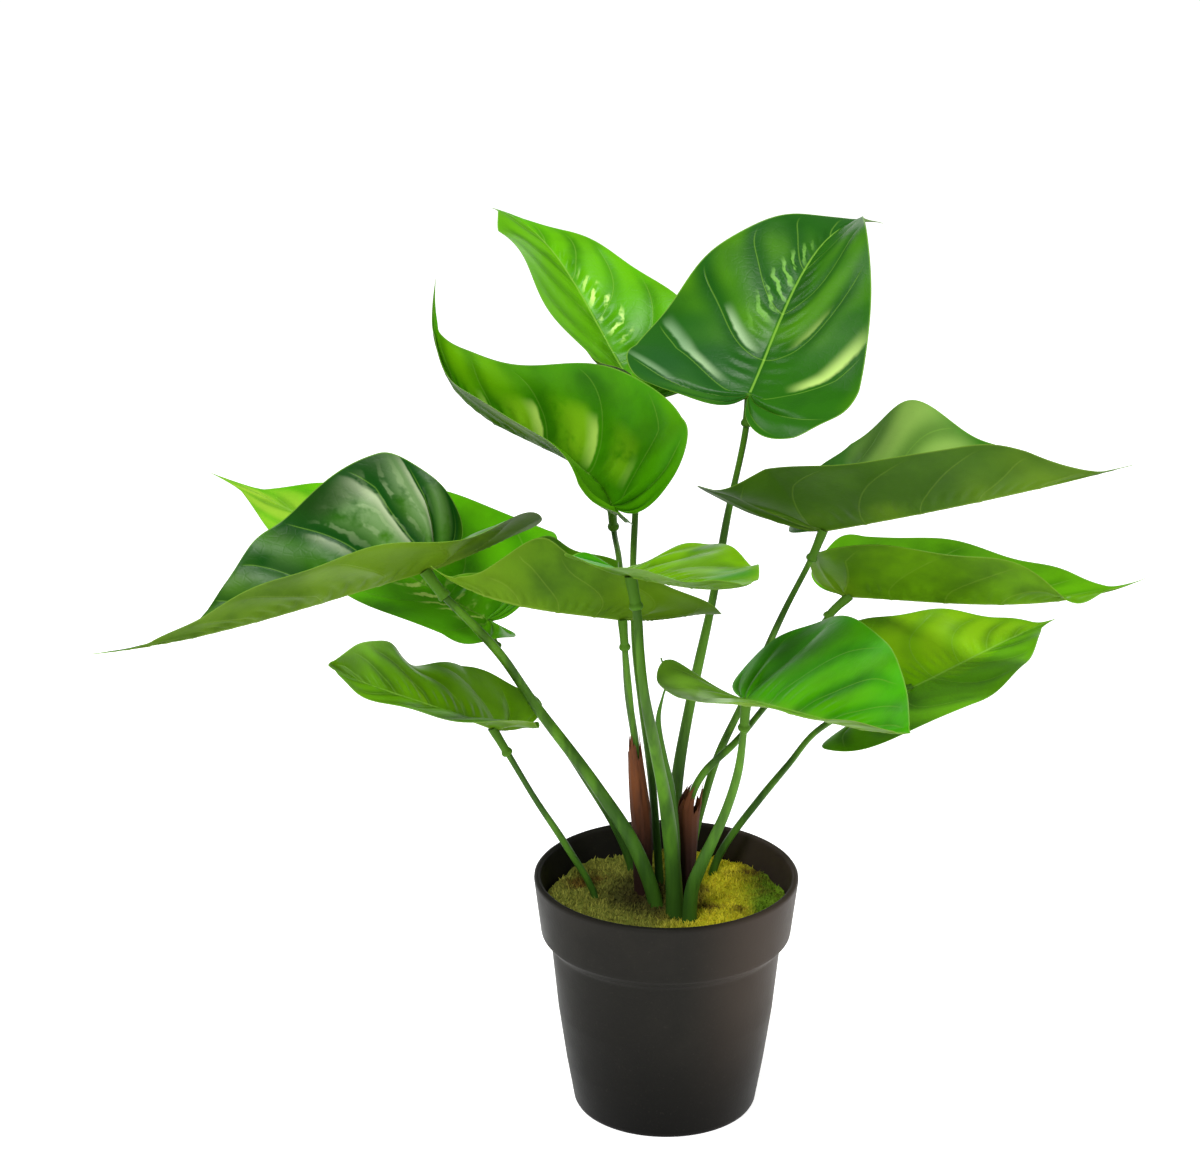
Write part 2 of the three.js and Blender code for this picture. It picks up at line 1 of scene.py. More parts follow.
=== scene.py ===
# %% [markdown]
# # A potted anthurium
# Twelve heart-shaped leaves with long drip tips stand on slender stems in a small round pot. The packed
# model gives the frame: every piece here is made in metres in that frame, and takes the place of the
# plainer solid of the same name. Shapes are worked out in millimetres, as a grower would measure them,
# and are turned into metres when the mesh is made.

# %% Load the frame
import math
from functools import partialmethod

import bpy
import numpy as np
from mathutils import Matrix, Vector


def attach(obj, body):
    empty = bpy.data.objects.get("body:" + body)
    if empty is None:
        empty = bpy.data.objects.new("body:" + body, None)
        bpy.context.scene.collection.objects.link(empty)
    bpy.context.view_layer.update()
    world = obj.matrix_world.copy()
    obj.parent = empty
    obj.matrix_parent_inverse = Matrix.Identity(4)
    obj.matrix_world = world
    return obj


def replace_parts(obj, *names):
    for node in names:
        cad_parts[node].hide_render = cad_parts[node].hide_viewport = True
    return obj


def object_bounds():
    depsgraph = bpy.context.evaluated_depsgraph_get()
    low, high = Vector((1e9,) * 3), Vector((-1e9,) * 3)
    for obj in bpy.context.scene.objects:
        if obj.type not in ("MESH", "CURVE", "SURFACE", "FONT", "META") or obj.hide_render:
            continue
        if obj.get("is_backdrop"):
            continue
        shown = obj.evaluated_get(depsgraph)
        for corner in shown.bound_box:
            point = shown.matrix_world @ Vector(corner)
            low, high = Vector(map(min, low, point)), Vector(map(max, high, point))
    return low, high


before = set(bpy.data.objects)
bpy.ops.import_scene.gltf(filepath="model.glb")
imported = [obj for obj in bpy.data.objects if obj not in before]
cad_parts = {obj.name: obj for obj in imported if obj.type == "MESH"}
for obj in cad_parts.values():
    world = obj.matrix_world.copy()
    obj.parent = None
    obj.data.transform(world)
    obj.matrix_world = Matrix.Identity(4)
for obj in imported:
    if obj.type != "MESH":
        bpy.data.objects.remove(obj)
CAD_BOX = [list(corner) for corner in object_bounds()]
MM = 0.001
print("nodes in the frame:", len(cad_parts))

# %% [markdown]
# ## The camera
# The photograph looks down on the pot at about twenty degrees through a long lens. The ellipse of the rim
# gives that angle, and the pot's height against its width gives the distance.

# %% Camera
CAMERA_BACK = 1.347
CAMERA_HEIGHT = 0.730
PITCH = math.radians(19.5)
YAW = -0.0223
FOCAL_PIXELS = 3251
IMAGE_WIDTH = 1200
SENSOR = 36.0


def make_camera():
    """A camera behind -Y that looks along (sin yaw cos pitch, cos yaw cos pitch, -sin pitch)."""
    data = bpy.data.cameras.new("camera")
    data.sensor_width = SENSOR
    data.lens = FOCAL_PIXELS * SENSOR / IMAGE_WIDTH
    camera = bpy.data.objects.new("camera", data)
    camera.location = (0, -CAMERA_BACK, CAMERA_HEIGHT)
    ahead = Vector((math.sin(YAW) * math.cos(PITCH), math.cos(YAW) * math.cos(PITCH), -math.sin(PITCH)))
    camera.rotation_mode = "QUATERNION"
    camera.rotation_quaternion = ahead.to_track_quat("-Z", "Y")
    bpy.context.scene.collection.objects.link(camera)
    bpy.context.scene.camera = camera
    return camera


print("lens in mm:", round(make_camera().data.lens, 1))

# %% [markdown]
# ## From arrays to a mesh
# Leaves, stems, pot and moss could be pulled into shape by hand. Here every surface is a grid of points
# worked out with numpy, so each measure is a named value that can be changed. One helper puts points and
# triangles into a mesh, with a UV map that carries the grid's own two parameters, so that a finish can
# follow the shape.

# %% Mesh helper


def new_piece(name, points, triangles, uv=None, attributes=None, sharp=55):
    """A mesh object from points in mm and triangles, with corner UVs and a float a point per attribute."""
    mesh = bpy.data.meshes.new(name)
    mesh.from_pydata((np.asarray(points) * MM).tolist(), [], np.asarray(triangles).tolist())
    if uv is not None:
        layer = mesh.uv_layers.new(name="shape")
        layer.data.foreach_set("uv", np.asarray(uv, np.float32).ravel())
    for key, values in (attributes or {}).items():
        mesh.attributes.new(key, "FLOAT", "POINT").data.foreach_set("value", np.asarray(values, np.float32))
    mesh.polygons.foreach_set("use_smooth", np.ones(len(mesh.polygons), bool))
    mesh.set_sharp_from_angle(angle=math.radians(sharp))
    mesh.update()
    piece = bpy.data.objects.new(name, mesh)
    bpy.context.scene.collection.objects.link(piece)
    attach(piece, "root")
    return piece


print("one millimetre in the frame's metres:", MM)

# %% Grids and solids


def full_turn(steps):
    """Angles that go once round in equal steps."""
    return np.linspace(0, 2 * np.pi, steps, endpoint=False)


def grid_triangles(index):
    """Two triangles for each cell of a grid of point numbers, without those that collapse to a line."""
    a, b, c, d = index[:-1, :-1], index[1:, :-1], index[1:, 1:], index[:-1, 1:]
    halves = [np.stack([a, b, c], -1).reshape(-1, 3), np.stack([a, c, d], -1).reshape(-1, 3)]
    triangles = np.concatenate(halves)
    x, y, z = triangles.T
    return triangles[(x != y) & (y != z) & (z != x)]


def point_normals(points, triangles):
    """The area-weighted mean direction of the triangles round each point."""
    corners = points[triangles]
    faces = np.cross(corners[:, 1] - corners[:, 0], corners[:, 2] - corners[:, 0])
    normals = np.zeros_like(points)
    for k in range(3):
        np.add.at(normals, triangles[:, k], faces)
    return normals / np.maximum(np.linalg.norm(normals, axis=1, keepdims=True), 1e-12)


def open_edges(triangles):
    """The directed edges that only one triangle has: the border of a sheet."""
    edges = np.concatenate([triangles[:, [0, 1]], triangles[:, [1, 2]], triangles[:, [2, 0]]])
    key = edges.min(1) * (triangles.max() + 1) + edges.max(1)
    _, first, count = np.unique(key, return_index=True, return_counts=True)
    return edges[first[count == 1]]


def thicken(points, triangles, above, below):
    """A closed solid: the sheet moved out by above and in by below along its normals, and a wall."""
    normals = point_normals(points, triangles)
    count = len(points)
    upper = points + normals * np.reshape(above, (-1, 1))
    lower = points - normals * np.reshape(below, (-1, 1))
    start, end = open_edges(triangles).T
    wall = [np.stack([start, start + count, end + count], 1), np.stack([start, end + count, end], 1)]
    return np.concatenate([upper, lower]), np.concatenate([triangles, triangles[:, ::-1] + count, *wall])


def round_triangles(index):
    """The triangles of a grid whose last column joins the first one."""
    return grid_triangles(np.concatenate([index, index[:, :1]], 1))


def closed_round(points):
    """The points and triangles of a grid that goes once round, with a pole at its first and last rows."""
    index = np.arange(points[..., 0].size).reshape(points.shape[:2])
    index[0], index[-1] = index[0, 0], index[-1, 0]
    used, inverse = np.unique(round_triangles(index), return_inverse=True)
    return points.reshape(-1, 3)[used], inverse.reshape(-1, 3)


def distance_along(points):
    """Distance from the first point of a line of points, summed from step to step."""
    return np.concatenate([[0], np.cumsum(np.linalg.norm(np.diff(points, axis=0), axis=1))])


def points_at(wanted, distance, points):
    """The points that lie at the wanted distances along a line of points."""
    return np.stack([np.interp(wanted, distance, column) for column in points.T], 1)


print("steps of a turn in degrees:", np.degrees(full_turn(6)).round().tolist())

# %% [markdown]
# ## Shader maths as expressions
# A finish is easier to read as arithmetic than as a list of nodes. Wire wraps one socket, so that a
# plus or a minus adds a Math node. Finish adds any other node from its type, settings and inputs.

# %% Colour and wire


def linear(red, green, blue):
    """A colour given in the usual 0 to 255 steps of a screen, as the linear values that a shader mixes."""
    share = np.array([red, green, blue]) / 255
    low = share / 12.92
    high = ((share + 0.055) / 1.055) ** 2.4
    return tuple(np.where(share <= 0.04045, low, high).tolist()) + (1.0,)


class Wire:
    """One output socket. Arithmetic on wires and numbers adds Math nodes and gives a new wire."""

    def __init__(self, finish, socket):
        self.finish = finish
        self.socket = socket

    def math(self, operation, *others):
        inputs = dict(enumerate((self, *others)))
        return self.finish.node("ShaderNodeMath", {"operation": operation}, inputs)

    def __rsub__(self, other):
        return self.finish.node("ShaderNodeMath", {"operation": "SUBTRACT"}, {0: other, 1: self})

    __add__ = __radd__ = partialmethod(math, "ADD")
    __sub__ = partialmethod(math, "SUBTRACT")
    __mul__ = __rmul__ = partialmethod(math, "MULTIPLY")
    __truediv__ = partialmethod(math, "DIVIDE")
    __pow__ = partialmethod(math, "POWER")
    __abs__ = partialmethod(math, "ABSOLUTE")
    sine = partialmethod(math, "SINE")
    fraction = partialmethod(math, "FRACT")

    def step(self, low, high):
        """0 below low, 1 above high and a smooth rise between them."""
        inputs = {"Value": self, "From Min": low, "From Max": high}
        return self.finish.node("ShaderNodeMapRange", {"interpolation_type": "SMOOTHSTEP"}, inputs)


print("the middle grey of a screen as a linear value:", round(linear(128, 128, 128)[0], 3))

# %% Finish


class Finish:
    """A material whose nodes are added by calls and expressions, around one Principled shader."""

    def __init__(self, name, roughness, specular):
        self.material = bpy.data.materials.new(name)
        self.material.use_nodes = True
        self.nodes = self.material.node_tree.nodes
        self.links = self.material.node_tree.links
        self.shader = self.nodes["Principled BSDF"]
        self.shader.inputs["Roughness"].default_value = roughness
        self.shader.inputs["Specular IOR Level"].default_value = specular

    def node(self, kind, settings=None, inputs=None, output=0):
        """Adds a node of a kind, sets it, fills its sockets and gives one output as a wire."""
        made = self.nodes.new(kind)
        for key, value in (settings or {}).items():
            setattr(made, key, value)
        for key, value in (inputs or {}).items():
            if isinstance(value, Wire):
                self.links.new(value.socket, made.inputs[key])
            else:
                made.inputs[key].default_value = value
        return Wire(self, made.outputs[output])

    def place(self):
        """The point's own position in metres."""
        return self.node("ShaderNodeTexCoord", output="Object")

    def axes(self, vector=None):
        """The three coordinates of a vector, or else of the point itself."""
        parts = self.node("ShaderNodeSeparateXYZ", {}, {"Vector": vector or self.place()})
        return [Wire(self, output) for output in parts.socket.node.outputs]

    def attribute(self, name):
        """A number that the mesh keeps for each point."""
        return self.node("ShaderNodeAttribute", {"attribute_name": name}, output="Fac")

    def shape_uv(self):
        """The two parameters of the piece's own grid."""
        return self.axes(self.node("ShaderNodeUVMap", {"uv_map": "shape"}))[:2]

    def noise(self, scale, detail=3, roughness=0.5, stretch=(1, 1, 1)):
        """Soft random patches, scale of them to a metre, drawn out along an axis whose stretch is small."""
        vector = self.node("ShaderNodeMapping", {}, {"Vector": self.place(), "Scale": stretch})
        inputs = {"Vector": vector, "Scale": scale, "Detail": detail, "Roughness": roughness}
        return self.node("ShaderNodeTexNoise", {}, inputs)

    def cells(self, scale):
        """How far a point is from the border of its random cell, scale of them to a metre."""
        inputs = {"Vector": self.place(), "Scale": scale}
        return self.node("ShaderNodeTexVoronoi", {"feature": "DISTANCE_TO_EDGE"}, inputs)

    def mix(self, share, first, second):
        """The first colour where share is 0 and the second where it is 1."""
        settings = {"data_type": "RGBA", "clamp_factor": True}
        return self.node("ShaderNodeMix", settings, {0: share, 6: first, 7: second}, output=2)

    def set(self, socket, value):
        """Links a wire to a socket of the shader."""
        self.links.new(value.socket, self.shader.inputs[socket])

    def bump(self, height, depth_mm, strength):
        """Shades the surface as if a height of 1 stood depth_mm proud."""
        inputs = {"Height": height, "Distance": depth_mm * MM, "Strength": strength}
        self.set("Normal", self.node("ShaderNodeBump", {}, inputs))


print("a finish can:", ", ".join(key for key in vars(Finish) if key[0] != "_"))

# %% [markdown]
# ## Floor and light
# The photograph is a studio cut-out on white. A plain white floor would turn grey away from the lights,
# so this one glows a little. It stays white under the plant and lights the leaves from below, as a light
# table does. A high light stands where the glints of the leaves mirror it, a broad one stands in front,
# and two weak ones fill the right and the back. The rim of the floor rises, so that no side view shows
# its edge.

# %% Floor and lights
FLOOR_RADIUS, FLAT_RADIUS, RIM_HEIGHT = 7.0, 5.0, 1.2
FLOOR_SIDES, RIM_RINGS = 96, 7
FLOOR_GREYS = (0.9, 0.9, 0.9, 1), (0.93, 0.93, 0.93, 1)
FLOOR_GLOW = 0.82
WORLD_LIGHT = 0.2
WHITE = (1, 1, 1, 1)


def make_floor():
    """A flat disc and a rim: its height is the rim height times the square of the share of the way out."""
    share = np.linspace(0, 1, RIM_RINGS)[:, None]
    turn = full_turn(FLOOR_SIDES)
    radius = FLAT_RADIUS + share * (FLOOR_RADIUS - FLAT_RADIUS)
    rise = RIM_HEIGHT * share**2 + 0 * turn
    points = np.stack([radius * np.cos(turn), radius * np.sin(turn), rise], -1).reshape(-1, 3)
    index = np.arange(len(points)).reshape(rise.shape)
    after = np.roll(index, -1, axis=1)
    rim = np.stack([index[:-1], index[1:], after[1:], after[:-1]], -1).reshape(-1, 4)
    mesh = bpy.data.meshes.new("floor")
    mesh.from_pydata(points.tolist(), [], [index[0].tolist(), *rim.tolist()])
    floor = bpy.data.objects.new("floor", mesh)
    bpy.context.scene.collection.objects.link(floor)
    finish = Finish("studio_floor", 0.9, 0.1)
    finish.set("Base Color", finish.mix(finish.noise(3.0), *FLOOR_GREYS))
    finish.shader.inputs["Emission Color"].default_value = WHITE
    finish.shader.inputs["Emission Strength"].default_value = FLOOR_GLOW
    mesh.materials.append(finish.material)
    floor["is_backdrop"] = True


def soft_light(name, place, aim, size, watts):
    """A round area light of a size in metres, at a place, that faces the aim."""
    data = bpy.data.lights.new(name, "AREA")
    data.shape = "DISK"
    data.size = size
    data.energy = watts
    light = bpy.data.objects.new(name, data)
    light.location = place
    light.rotation_mode = "QUATERNION"
    light.rotation_quaternion = (Vector(aim) - Vector(place)).to_track_quat("-Z", "Y")
    bpy.context.scene.collection.objects.link(light)


def make_studio():
    """A faint white surround and four lights that face the middle of the plant."""
    world = bpy.data.worlds.new("studio")
    world.use_nodes = True
    surround = world.node_tree.nodes["Background"]
    surround.inputs["Color"].default_value = WHITE
    surround.inputs["Strength"].default_value = WORLD_LIGHT
    bpy.context.scene.world = world
    middle = (0, 0, 0.25)
    soft_light("key", (0.4, 0.12, 1.6), middle, 0.3, 13)
    soft_light("front", (-0.4, -1.2, 1.3), middle, 0.5, 14)
    soft_light("fill", (1.1, -0.6, 0.9), middle, 0.4, 3)
    soft_light("back", (-0.9, 0.7, 1.3), middle, 0.4, 4)
    bpy.context.scene.view_settings.view_transform = "Standard"


make_floor()
make_studio()
print("lights:", len(bpy.data.lights))

# %% [markdown]
# ## The leaves' sizes
# Each leaf is named by its place. A leaf is given by its junction with the stem, its tip, the flat width
# of its two halves and the way they fold, bow and ruffle. Pairs are left and right, looking from the
# junction to the tip with the upper face up. These are the measures that the plain solids are made from.

# %% Leaf sizes in millimetres and degrees
PLAIN_LEAF = dict(
    roll=0, sinus=(0.42, 0.42), open=(0, 0), lift=(0, 0), ruffle=((0, 0.5), (0, 0.5)), bow=(0, 0),
    sway=(0, 0), drip=(0.87, 0.87), stem_top=1.5, stem_base=2.2,
)
LEAVES = dict(
    top_right=dict(
        junction=(35, 20, 333), tip=(100, 158, 377), halves=(57, 53), lobes=(28, 32), sinus=(0.6, 0.65),
        roll=-4, fold=(24, 6), fold_at_tip=(26, 38), bow=(5, 38), sway=(6, 8), lift=(8, 0),
        ruffle=((-9, 0.52), (0, 0.5)), route=[(33, 22, 313), (26, 27, 274), (20, 25, 236), (11, 20, 191),
        (5, 16, 154), (3, 13, 120), (3, 12, 98)], stem_base=3.8,
    ),
    top_left=dict(
        junction=(-14, 52, 323), tip=(-84, 147, 386), halves=(54, 48), lobes=(6, 14), roll=14,
        fold=(26, 32), fold_at_tip=(8, 10), bow=(2, 24), lift=(6, 10), ruffle=((-8, 0.8), (0, 0.5)),
        drip=(0.94, 0.87), route=[(-15, 46, 275), (-16, 40, 245), (-15, 35, 212), (-12, 30, 185),
        (-7, 23, 150), (-3, 20, 98)],
    ),
    upper_left=dict(
        junction=(-25, 0, 288), tip=(-106, 80, 369), halves=(42, 55), lobes=(20, 16), roll=-14,
        fold=(50, 64), fold_at_tip=(70, 68), bow=(0, -62), sway=(-12, 30), lift=(8, 4),
        ruffle=((0, 0.5), (4, 0.56)), route=[(-24, 9, 272), (-22, 19, 256), (-20, 19, 229),
        (-18, 18, 195), (-14, 18, 166), (-11, 18, 128), (-10, 20, 98)],
    ),
    large_left=dict(
        junction=(-107, 0, 257), tip=(-241, -88, 250), halves=(40, 58), lobes=(50, 26), sinus=(0.6, 0.42),
        fold=(46, 48), fold_at_tip=(66, 46), open=(6, 0), bow=(-2, -8), lift=(2, 0),
        ruffle=((-6, 0.42), (-8, 0.58)), drip=(0.82, 0.68), route=[(-99, -3, 247), (-86, -5, 234),
        (-74, -3, 219), (-58, 8, 189), (-32, 1, 155), (-14, -5, 127), (-4.5, -6, 98)], stem_top=2,
        stem_base=4,
    ),
    back_left=dict(
        junction=(-83, 45, 218), tip=(-217, 115, 265), halves=(42, 53), lobes=(22, 14), roll=-14,
        fold=(23, 25), fold_at_tip=(-12, 22), bow=(0, 6), lift=(6, 8), drip=(0.87, 0.82),
        route=[(-80, 44, 208), (-72, 43, 196), (-55, 39, 170), (-40, 36, 148), (-22, 32, 118),
        (-15, 30, 98)], stem_base=3,
    ),
    centre=dict(
        junction=(-20, -10, 239), tip=(-101, -45, 275), halves=(33, 30), lobes=(38, 4), fold=(50, 40),
        fold_at_tip=(84, 66), open=(30, 6), bow=(-4, -12), lift=(8, 0), ruffle=((14, 0.67), (11, 0.6)),
        route=[(-19, -9, 226), (-17, -6, 204), (-15, -1, 181), (-13, 4, 155), (-11, 7, 130),
        (-10.5, 9, 98)], stem_base=2,
    ),
    centre_front=dict(
        junction=(-16, -47, 272), tip=(33, -129, 298), halves=(44, 32), lobes=(16, 10), fold=(10, 24),
        bow=(-2, -6), lift=(0, 4), ruffle=((-4, 0.55), (0, 0.5)), drip=(0.96, 0.95),
        route=[(-13, -48, 254), (-12, -50, 240), (-10, -50, 220), (-5, -38, 188), (0, -23, 154),
        (3, -14, 122), (4, -13, 98)], stem_top=2, stem_base=4.6,
    ),
    lower_left=dict(
        junction=(-78, -5, 185), tip=(-143, -72, 240), halves=(24, 38), lobes=(12, 36), fold=(20, 34),
        fold_at_tip=(-44, 92), bow=(0, -4), sway=(-6, -16), lift=(4, 10), ruffle=((0, 0.5), (-14, 0.55)),
        drip=(0.95, 0.97), route=[(-70, -4, 170), (-59, -2, 149), (-45, 0, 125), (-32, 2, 98)],
        stem_base=2,
    ),
    upper_right=dict(
        junction=(68, 10, 274), tip=(193, -54, 325), halves=(54, 50), lobes=(24, 32), sinus=(0.42, 0.9),
        fold=(28, 47), bow=(-2, -2), open=(0, 16), lift=(-6, 12), ruffle=((18, 0.53), (9, 0.72)),
        drip=(0.79, 0.87), route=[(63, 9, 261), (51, 9, 235), (34, 13, 191), (23, 17, 163), (18, 14, 147),
        (12, 11, 122), (10.5, 10.5, 98)], stem_base=2.4,
    ),
    middle_right=dict(
        junction=(83, 53, 228), tip=(212, 20, 249), halves=(45, 43), lobes=(20, 14), sinus=(0.42, 0.25),
        fold=(20, 48), fold_at_tip=(34, 74), bow=(-5, -16), lift=(0, 4), ruffle=((0, 0.5), (-16, 0.82)),
        route=[(74, 50, 220), (56, 40, 194), (42, 28, 180), (30, 10, 172), (16.5, 4, 160), (11, 3, 148),
        (10, 2, 125), (10, 2, 98)],
    ),
    front_right=dict(
        junction=(34, -40, 213), tip=(97, -145, 241), halves=(57, 34), lobes=(27, 36), roll=14,
        fold=(15, 26), fold_at_tip=(28, 44), bow=(0, -6), lift=(0, 14), drip=(0.96, 0.94),
        route=[(33, -37, 195), (31, -31, 175), (26, -27, 155), (15.5, -23, 127), (11.5, -21, 114),
        (10.5, -21, 98)], stem_top=1.7, stem_base=4.2,
    ),
    back_right=dict(
        junction=(112, 40, 188), tip=(183, 98, 201), halves=(48, 39), lobes=(30, 66), roll=8,
        fold=(12, 14), fold_at_tip=(12, 16), bow=(0, 2), lift=(0, -2), route=[(92, 38, 182),
        (68, 35, 168), (56, 33, 153), (42, 31, 135), (26, 28, 112), (21, 27, 98)],
    ),
)
LEAVES = {name: {**PLAIN_LEAF, "fold_at_tip": leaf["fold"], **leaf} for name, leaf in LEAVES.items()}
print("leaves:", ", ".join(LEAVES))

# %% [markdown]
# ## The outline of a leaf
# A heart-shaped leaf with a drip tip could be one closed curve. Two halves are better here, because on a
# real leaf one side of the midrib is often wider or has a longer lobe. Four short Bezier curves draw one
# half: the notch beside the stem, the round lobe, the long shoulder and the slender tip.

# %% Half outline
LOBE_END = 0.2
WIDEST = 0.42
DRIP_START = 0.86
PLAIN_SINUS = 0.42
DRIP_WIDTH = 0.07


def bezier(corners, t):
    """The cubic curve (1-t)^3 a + 3(1-t)^2 t b + 3(1-t) t^2 c + t^3 d."""
    a, b, c, d = np.array(corners, float)
    t = np.asarray(t)[..., None]
    return (1 - t) ** 3 * a + 3 * (1 - t) ** 2 * t * b + 3 * (1 - t) * t**2 * c + t**3 * d


def half_outline(place, drip, sinus):
    """The outline from place 0, the notch, to 1, the tip: x from -1 at the lobe's back to 1, y up to 1."""
    tip = 1 - drip
    stretches = (
        (0, LOBE_END, [(0, 0), (-0.3, 0.02), (-1.1, 0.06 + 0.4 * (sinus - PLAIN_SINUS)), (-1, sinus)]),
        (LOBE_END, WIDEST, [(-1, sinus), (-0.93, 0.54 + sinus / 2), (-0.55, 1), (0, 1)]),
        (WIDEST, DRIP_START, [(0, 1), (0.4, 1), (drip - 0.21, 0.5), (drip, DRIP_WIDTH)]),
        (DRIP_START, 1, [(drip, DRIP_WIDTH), (drip + tip / 4, 0.03), (drip + 0.6 * tip, 0.015), (1, 0)]),
    )
    outline = np.zeros(place.shape + (2,))
    for start, end, corners in stretches:
        inside = (place >= start) & (place <= end)
        outline[inside] = bezier(corners, (place[inside] - start) / (end - start))
    return outline


print("widest point of the outline:", half_outline(np.array([WIDEST]), 0.87, PLAIN_SINUS)[0])

# %% [markdown]
# ## Bending the flat leaf
# A lattice could bend a flat leaf, but a few angles say the same and can be read off a photograph. The
# midrib bows and sways off the line from the junction to the tip. Each half then stands up from it at its
# own fold, which changes towards the tip, and the margin ruffles. Every vein runs from the midrib out to
# the margin, so a grid of vein lines against distance from the midrib covers the blade.

# %% Blade shape
VEIN_START = 0.3
VEIN_EASE = 1.05
RUFFLE_WIDTH = 0.075
RIPPLE_HEIGHT = 1.2
RIPPLE_COUNT = 5
FOLDING_WIDTH = 3


def unit(vector):
    """The vector over its own length."""
    return np.asarray(vector, float) / np.linalg.norm(vector)


def blade_frame(leaf):
    """The leaf's own axes: ahead to the tip, left, and up off the upper face, with its length."""
    chord = np.subtract(leaf["tip"], leaf["junction"]).astype(float)
    ahead = unit(chord)
    level = unit(np.array([0, 0, 1.0]) - ahead * ahead[2])
    roll = math.radians(leaf["roll"])
    left = np.cross(level, ahead) * math.cos(roll) + level * math.sin(roll)
    return ahead, left, np.cross(ahead, left), np.linalg.norm(chord)


def half_blade(leaf, side, place, out):
    """One half of the blade. A point is junction + ahead*along + left*(sway +- across*cos(tilt))
    + up*(bow + across*sin(tilt) + lift*behind^2 + ruffle*out^2)."""
    ahead, left, up, length = blade_frame(leaf)
    margin = half_outline(place, leaf["drip"][side], leaf["sinus"][side])
    back = leaf["lobes"][side]
    reach = np.where(margin[..., 0] < 0, margin[..., 0] * back, margin[..., 0] * length)
    start = length * np.clip((place - VEIN_START) / (1 - VEIN_START), 0, 1) ** VEIN_EASE
    along = start + (reach - start) * out
    width = margin[..., 1] * leaf["halves"][side]
    across = width * out
    forward, behind = np.clip(along / length, 0, 1), np.clip(-along / back, 0, 1)
    first, second = 3 * (1 - forward) ** 2 * forward, 3 * (1 - forward) * forward**2
    bow, sway = leaf["bow"], leaf["sway"]
    rise = bow[0] * first + bow[1] * second + np.minimum(along, 0) * 3 * bow[0] / length
    shift = sway[0] * first + sway[1] * second
    folding = np.where(margin[..., 0] < 0, 1, np.minimum(1, width / FOLDING_WIDTH))
    fold = leaf["fold"][side] + (leaf["fold_at_tip"][side] - leaf["fold"][side]) * forward
    tilt = np.radians((fold - leaf["open"][side] * behind) * folding)
    height, ruffle_place = leaf["ruffle"][side]
    ruffle = height * np.exp(-(((place - ruffle_place) / RUFFLE_WIDTH) ** 2))
    turns = RIPPLE_COUNT * place + 0.37 * side + 0.1 * bow[0]
    ripple = RIPPLE_HEIGHT * np.sin(2 * np.pi * turns)
    margins = (ruffle + ripple) * out**2 * np.minimum(1, 3 * margin[..., 1])
    sideways = shift + (1 if side == 0 else -1) * across * np.cos(tilt)
    upward = rise + across * np.sin(tilt) + leaf["lift"][side] * behind**2 + margins
    return leaf["junction"] + along[..., None] * ahead + sideways[..., None] * left + upward[..., None] * up


print("length of the large left leaf in mm:", round(blade_frame(LEAVES["large_left"])[3]))

# %% [markdown]
# ## Stems and sleeves
# A stem is a circle carried along a smooth route. A bevelled curve makes such a tube too, but its ribs
# could not follow a formula. The route is a centripetal Catmull-Rom curve, which never loops back between
# two of its points. The upper end of each stem sits in a short sleeve with a small knob, which belongs to
# the leaf.

# %% Routes and tubes
MOSS_TOP = 100
STEM_DEPTH = 24
SLEEVE_LENGTH = 15
TUBE_SIDES = 20


def smooth_route(points, count):
    """Points evenly spaced along the centripetal Catmull-Rom curve through the points given."""
    given = np.asarray(points, float)
    padded = np.concatenate([[2 * given[0] - given[1]], given, [2 * given[-1] - given[-2]]])
    gap = np.maximum(np.linalg.norm(np.diff(padded, axis=0), axis=1, keepdims=True) ** 0.5, 1e-4)
    a, b, c, d = padded[:-3], padded[1:-2], padded[2:-1], padded[3:]
    first, middle, last = gap[:-2], gap[1:-1], gap[2:]
    leave = middle * ((b - a) / first - (c - a) / (first + middle) + (c - b) / middle)
    arrive = middle * ((c - b) / middle - (d - b) / (middle + last) + (d - c) / last)
    t = np.linspace(0, 1, 60)[:, None, None]
    fine = b + leave * t + (-3 * b + 3 * c - 2 * leave - arrive) * t**2
    fine = fine + (2 * b - 2 * c + leave + arrive) * t**3
    fine = fine.transpose(1, 0, 2).reshape(-1, 3)
    distance = distance_along(fine)
    even = np.linspace(0, distance[-1], count)
    return points_at(even, distance, fine), even


def tube(centres, radii, sides=TUBE_SIDES):
    """Points and triangles of circles across a route, closed at both ends."""
    centres, radii = np.asarray(centres, float), np.broadcast_to(radii, (len(centres), sides))
    ahead = np.gradient(centres, axis=0)
    ahead /= np.linalg.norm(ahead, axis=1, keepdims=True)
    across = np.eye(3)[np.abs(ahead).max(0).argmin()]
    first = across - ahead * (ahead @ across)[:, None]
    first /= np.linalg.norm(first, axis=1, keepdims=True)
    second = np.cross(ahead, first)
    turn = full_turn(sides)
    spokes = first[:, None] * np.cos(turn)[:, None] + second[:, None] * np.sin(turn)[:, None]
    points = (centres[:, None] + spokes * radii[..., None]).reshape(-1, 3)
    index = np.arange(len(points)).reshape(len(centres), sides)
    skin = round_triangles(index)[:, ::-1]
    points = np.concatenate([points, centres[:1], centres[-1:]])
    near, far, ends = index[0], index[-1], len(points) - 2
    caps = [np.stack([np.roll(near, -1), near, np.full(sides, ends)], 1)]
    caps.append(np.stack([far, np.roll(far, -1), np.full(sides, ends + 1)], 1))
    return points, np.concatenate([skin, *caps])


def stem_route(leaf, count=140):
    """The stem's centre line from the junction to its foot in the soil, with the distance along it."""
    x, y = leaf["route"][-1][:2]
    return smooth_route([leaf["junction"], *leaf["route"], (x, y, MOSS_TOP - STEM_DEPTH)], count)


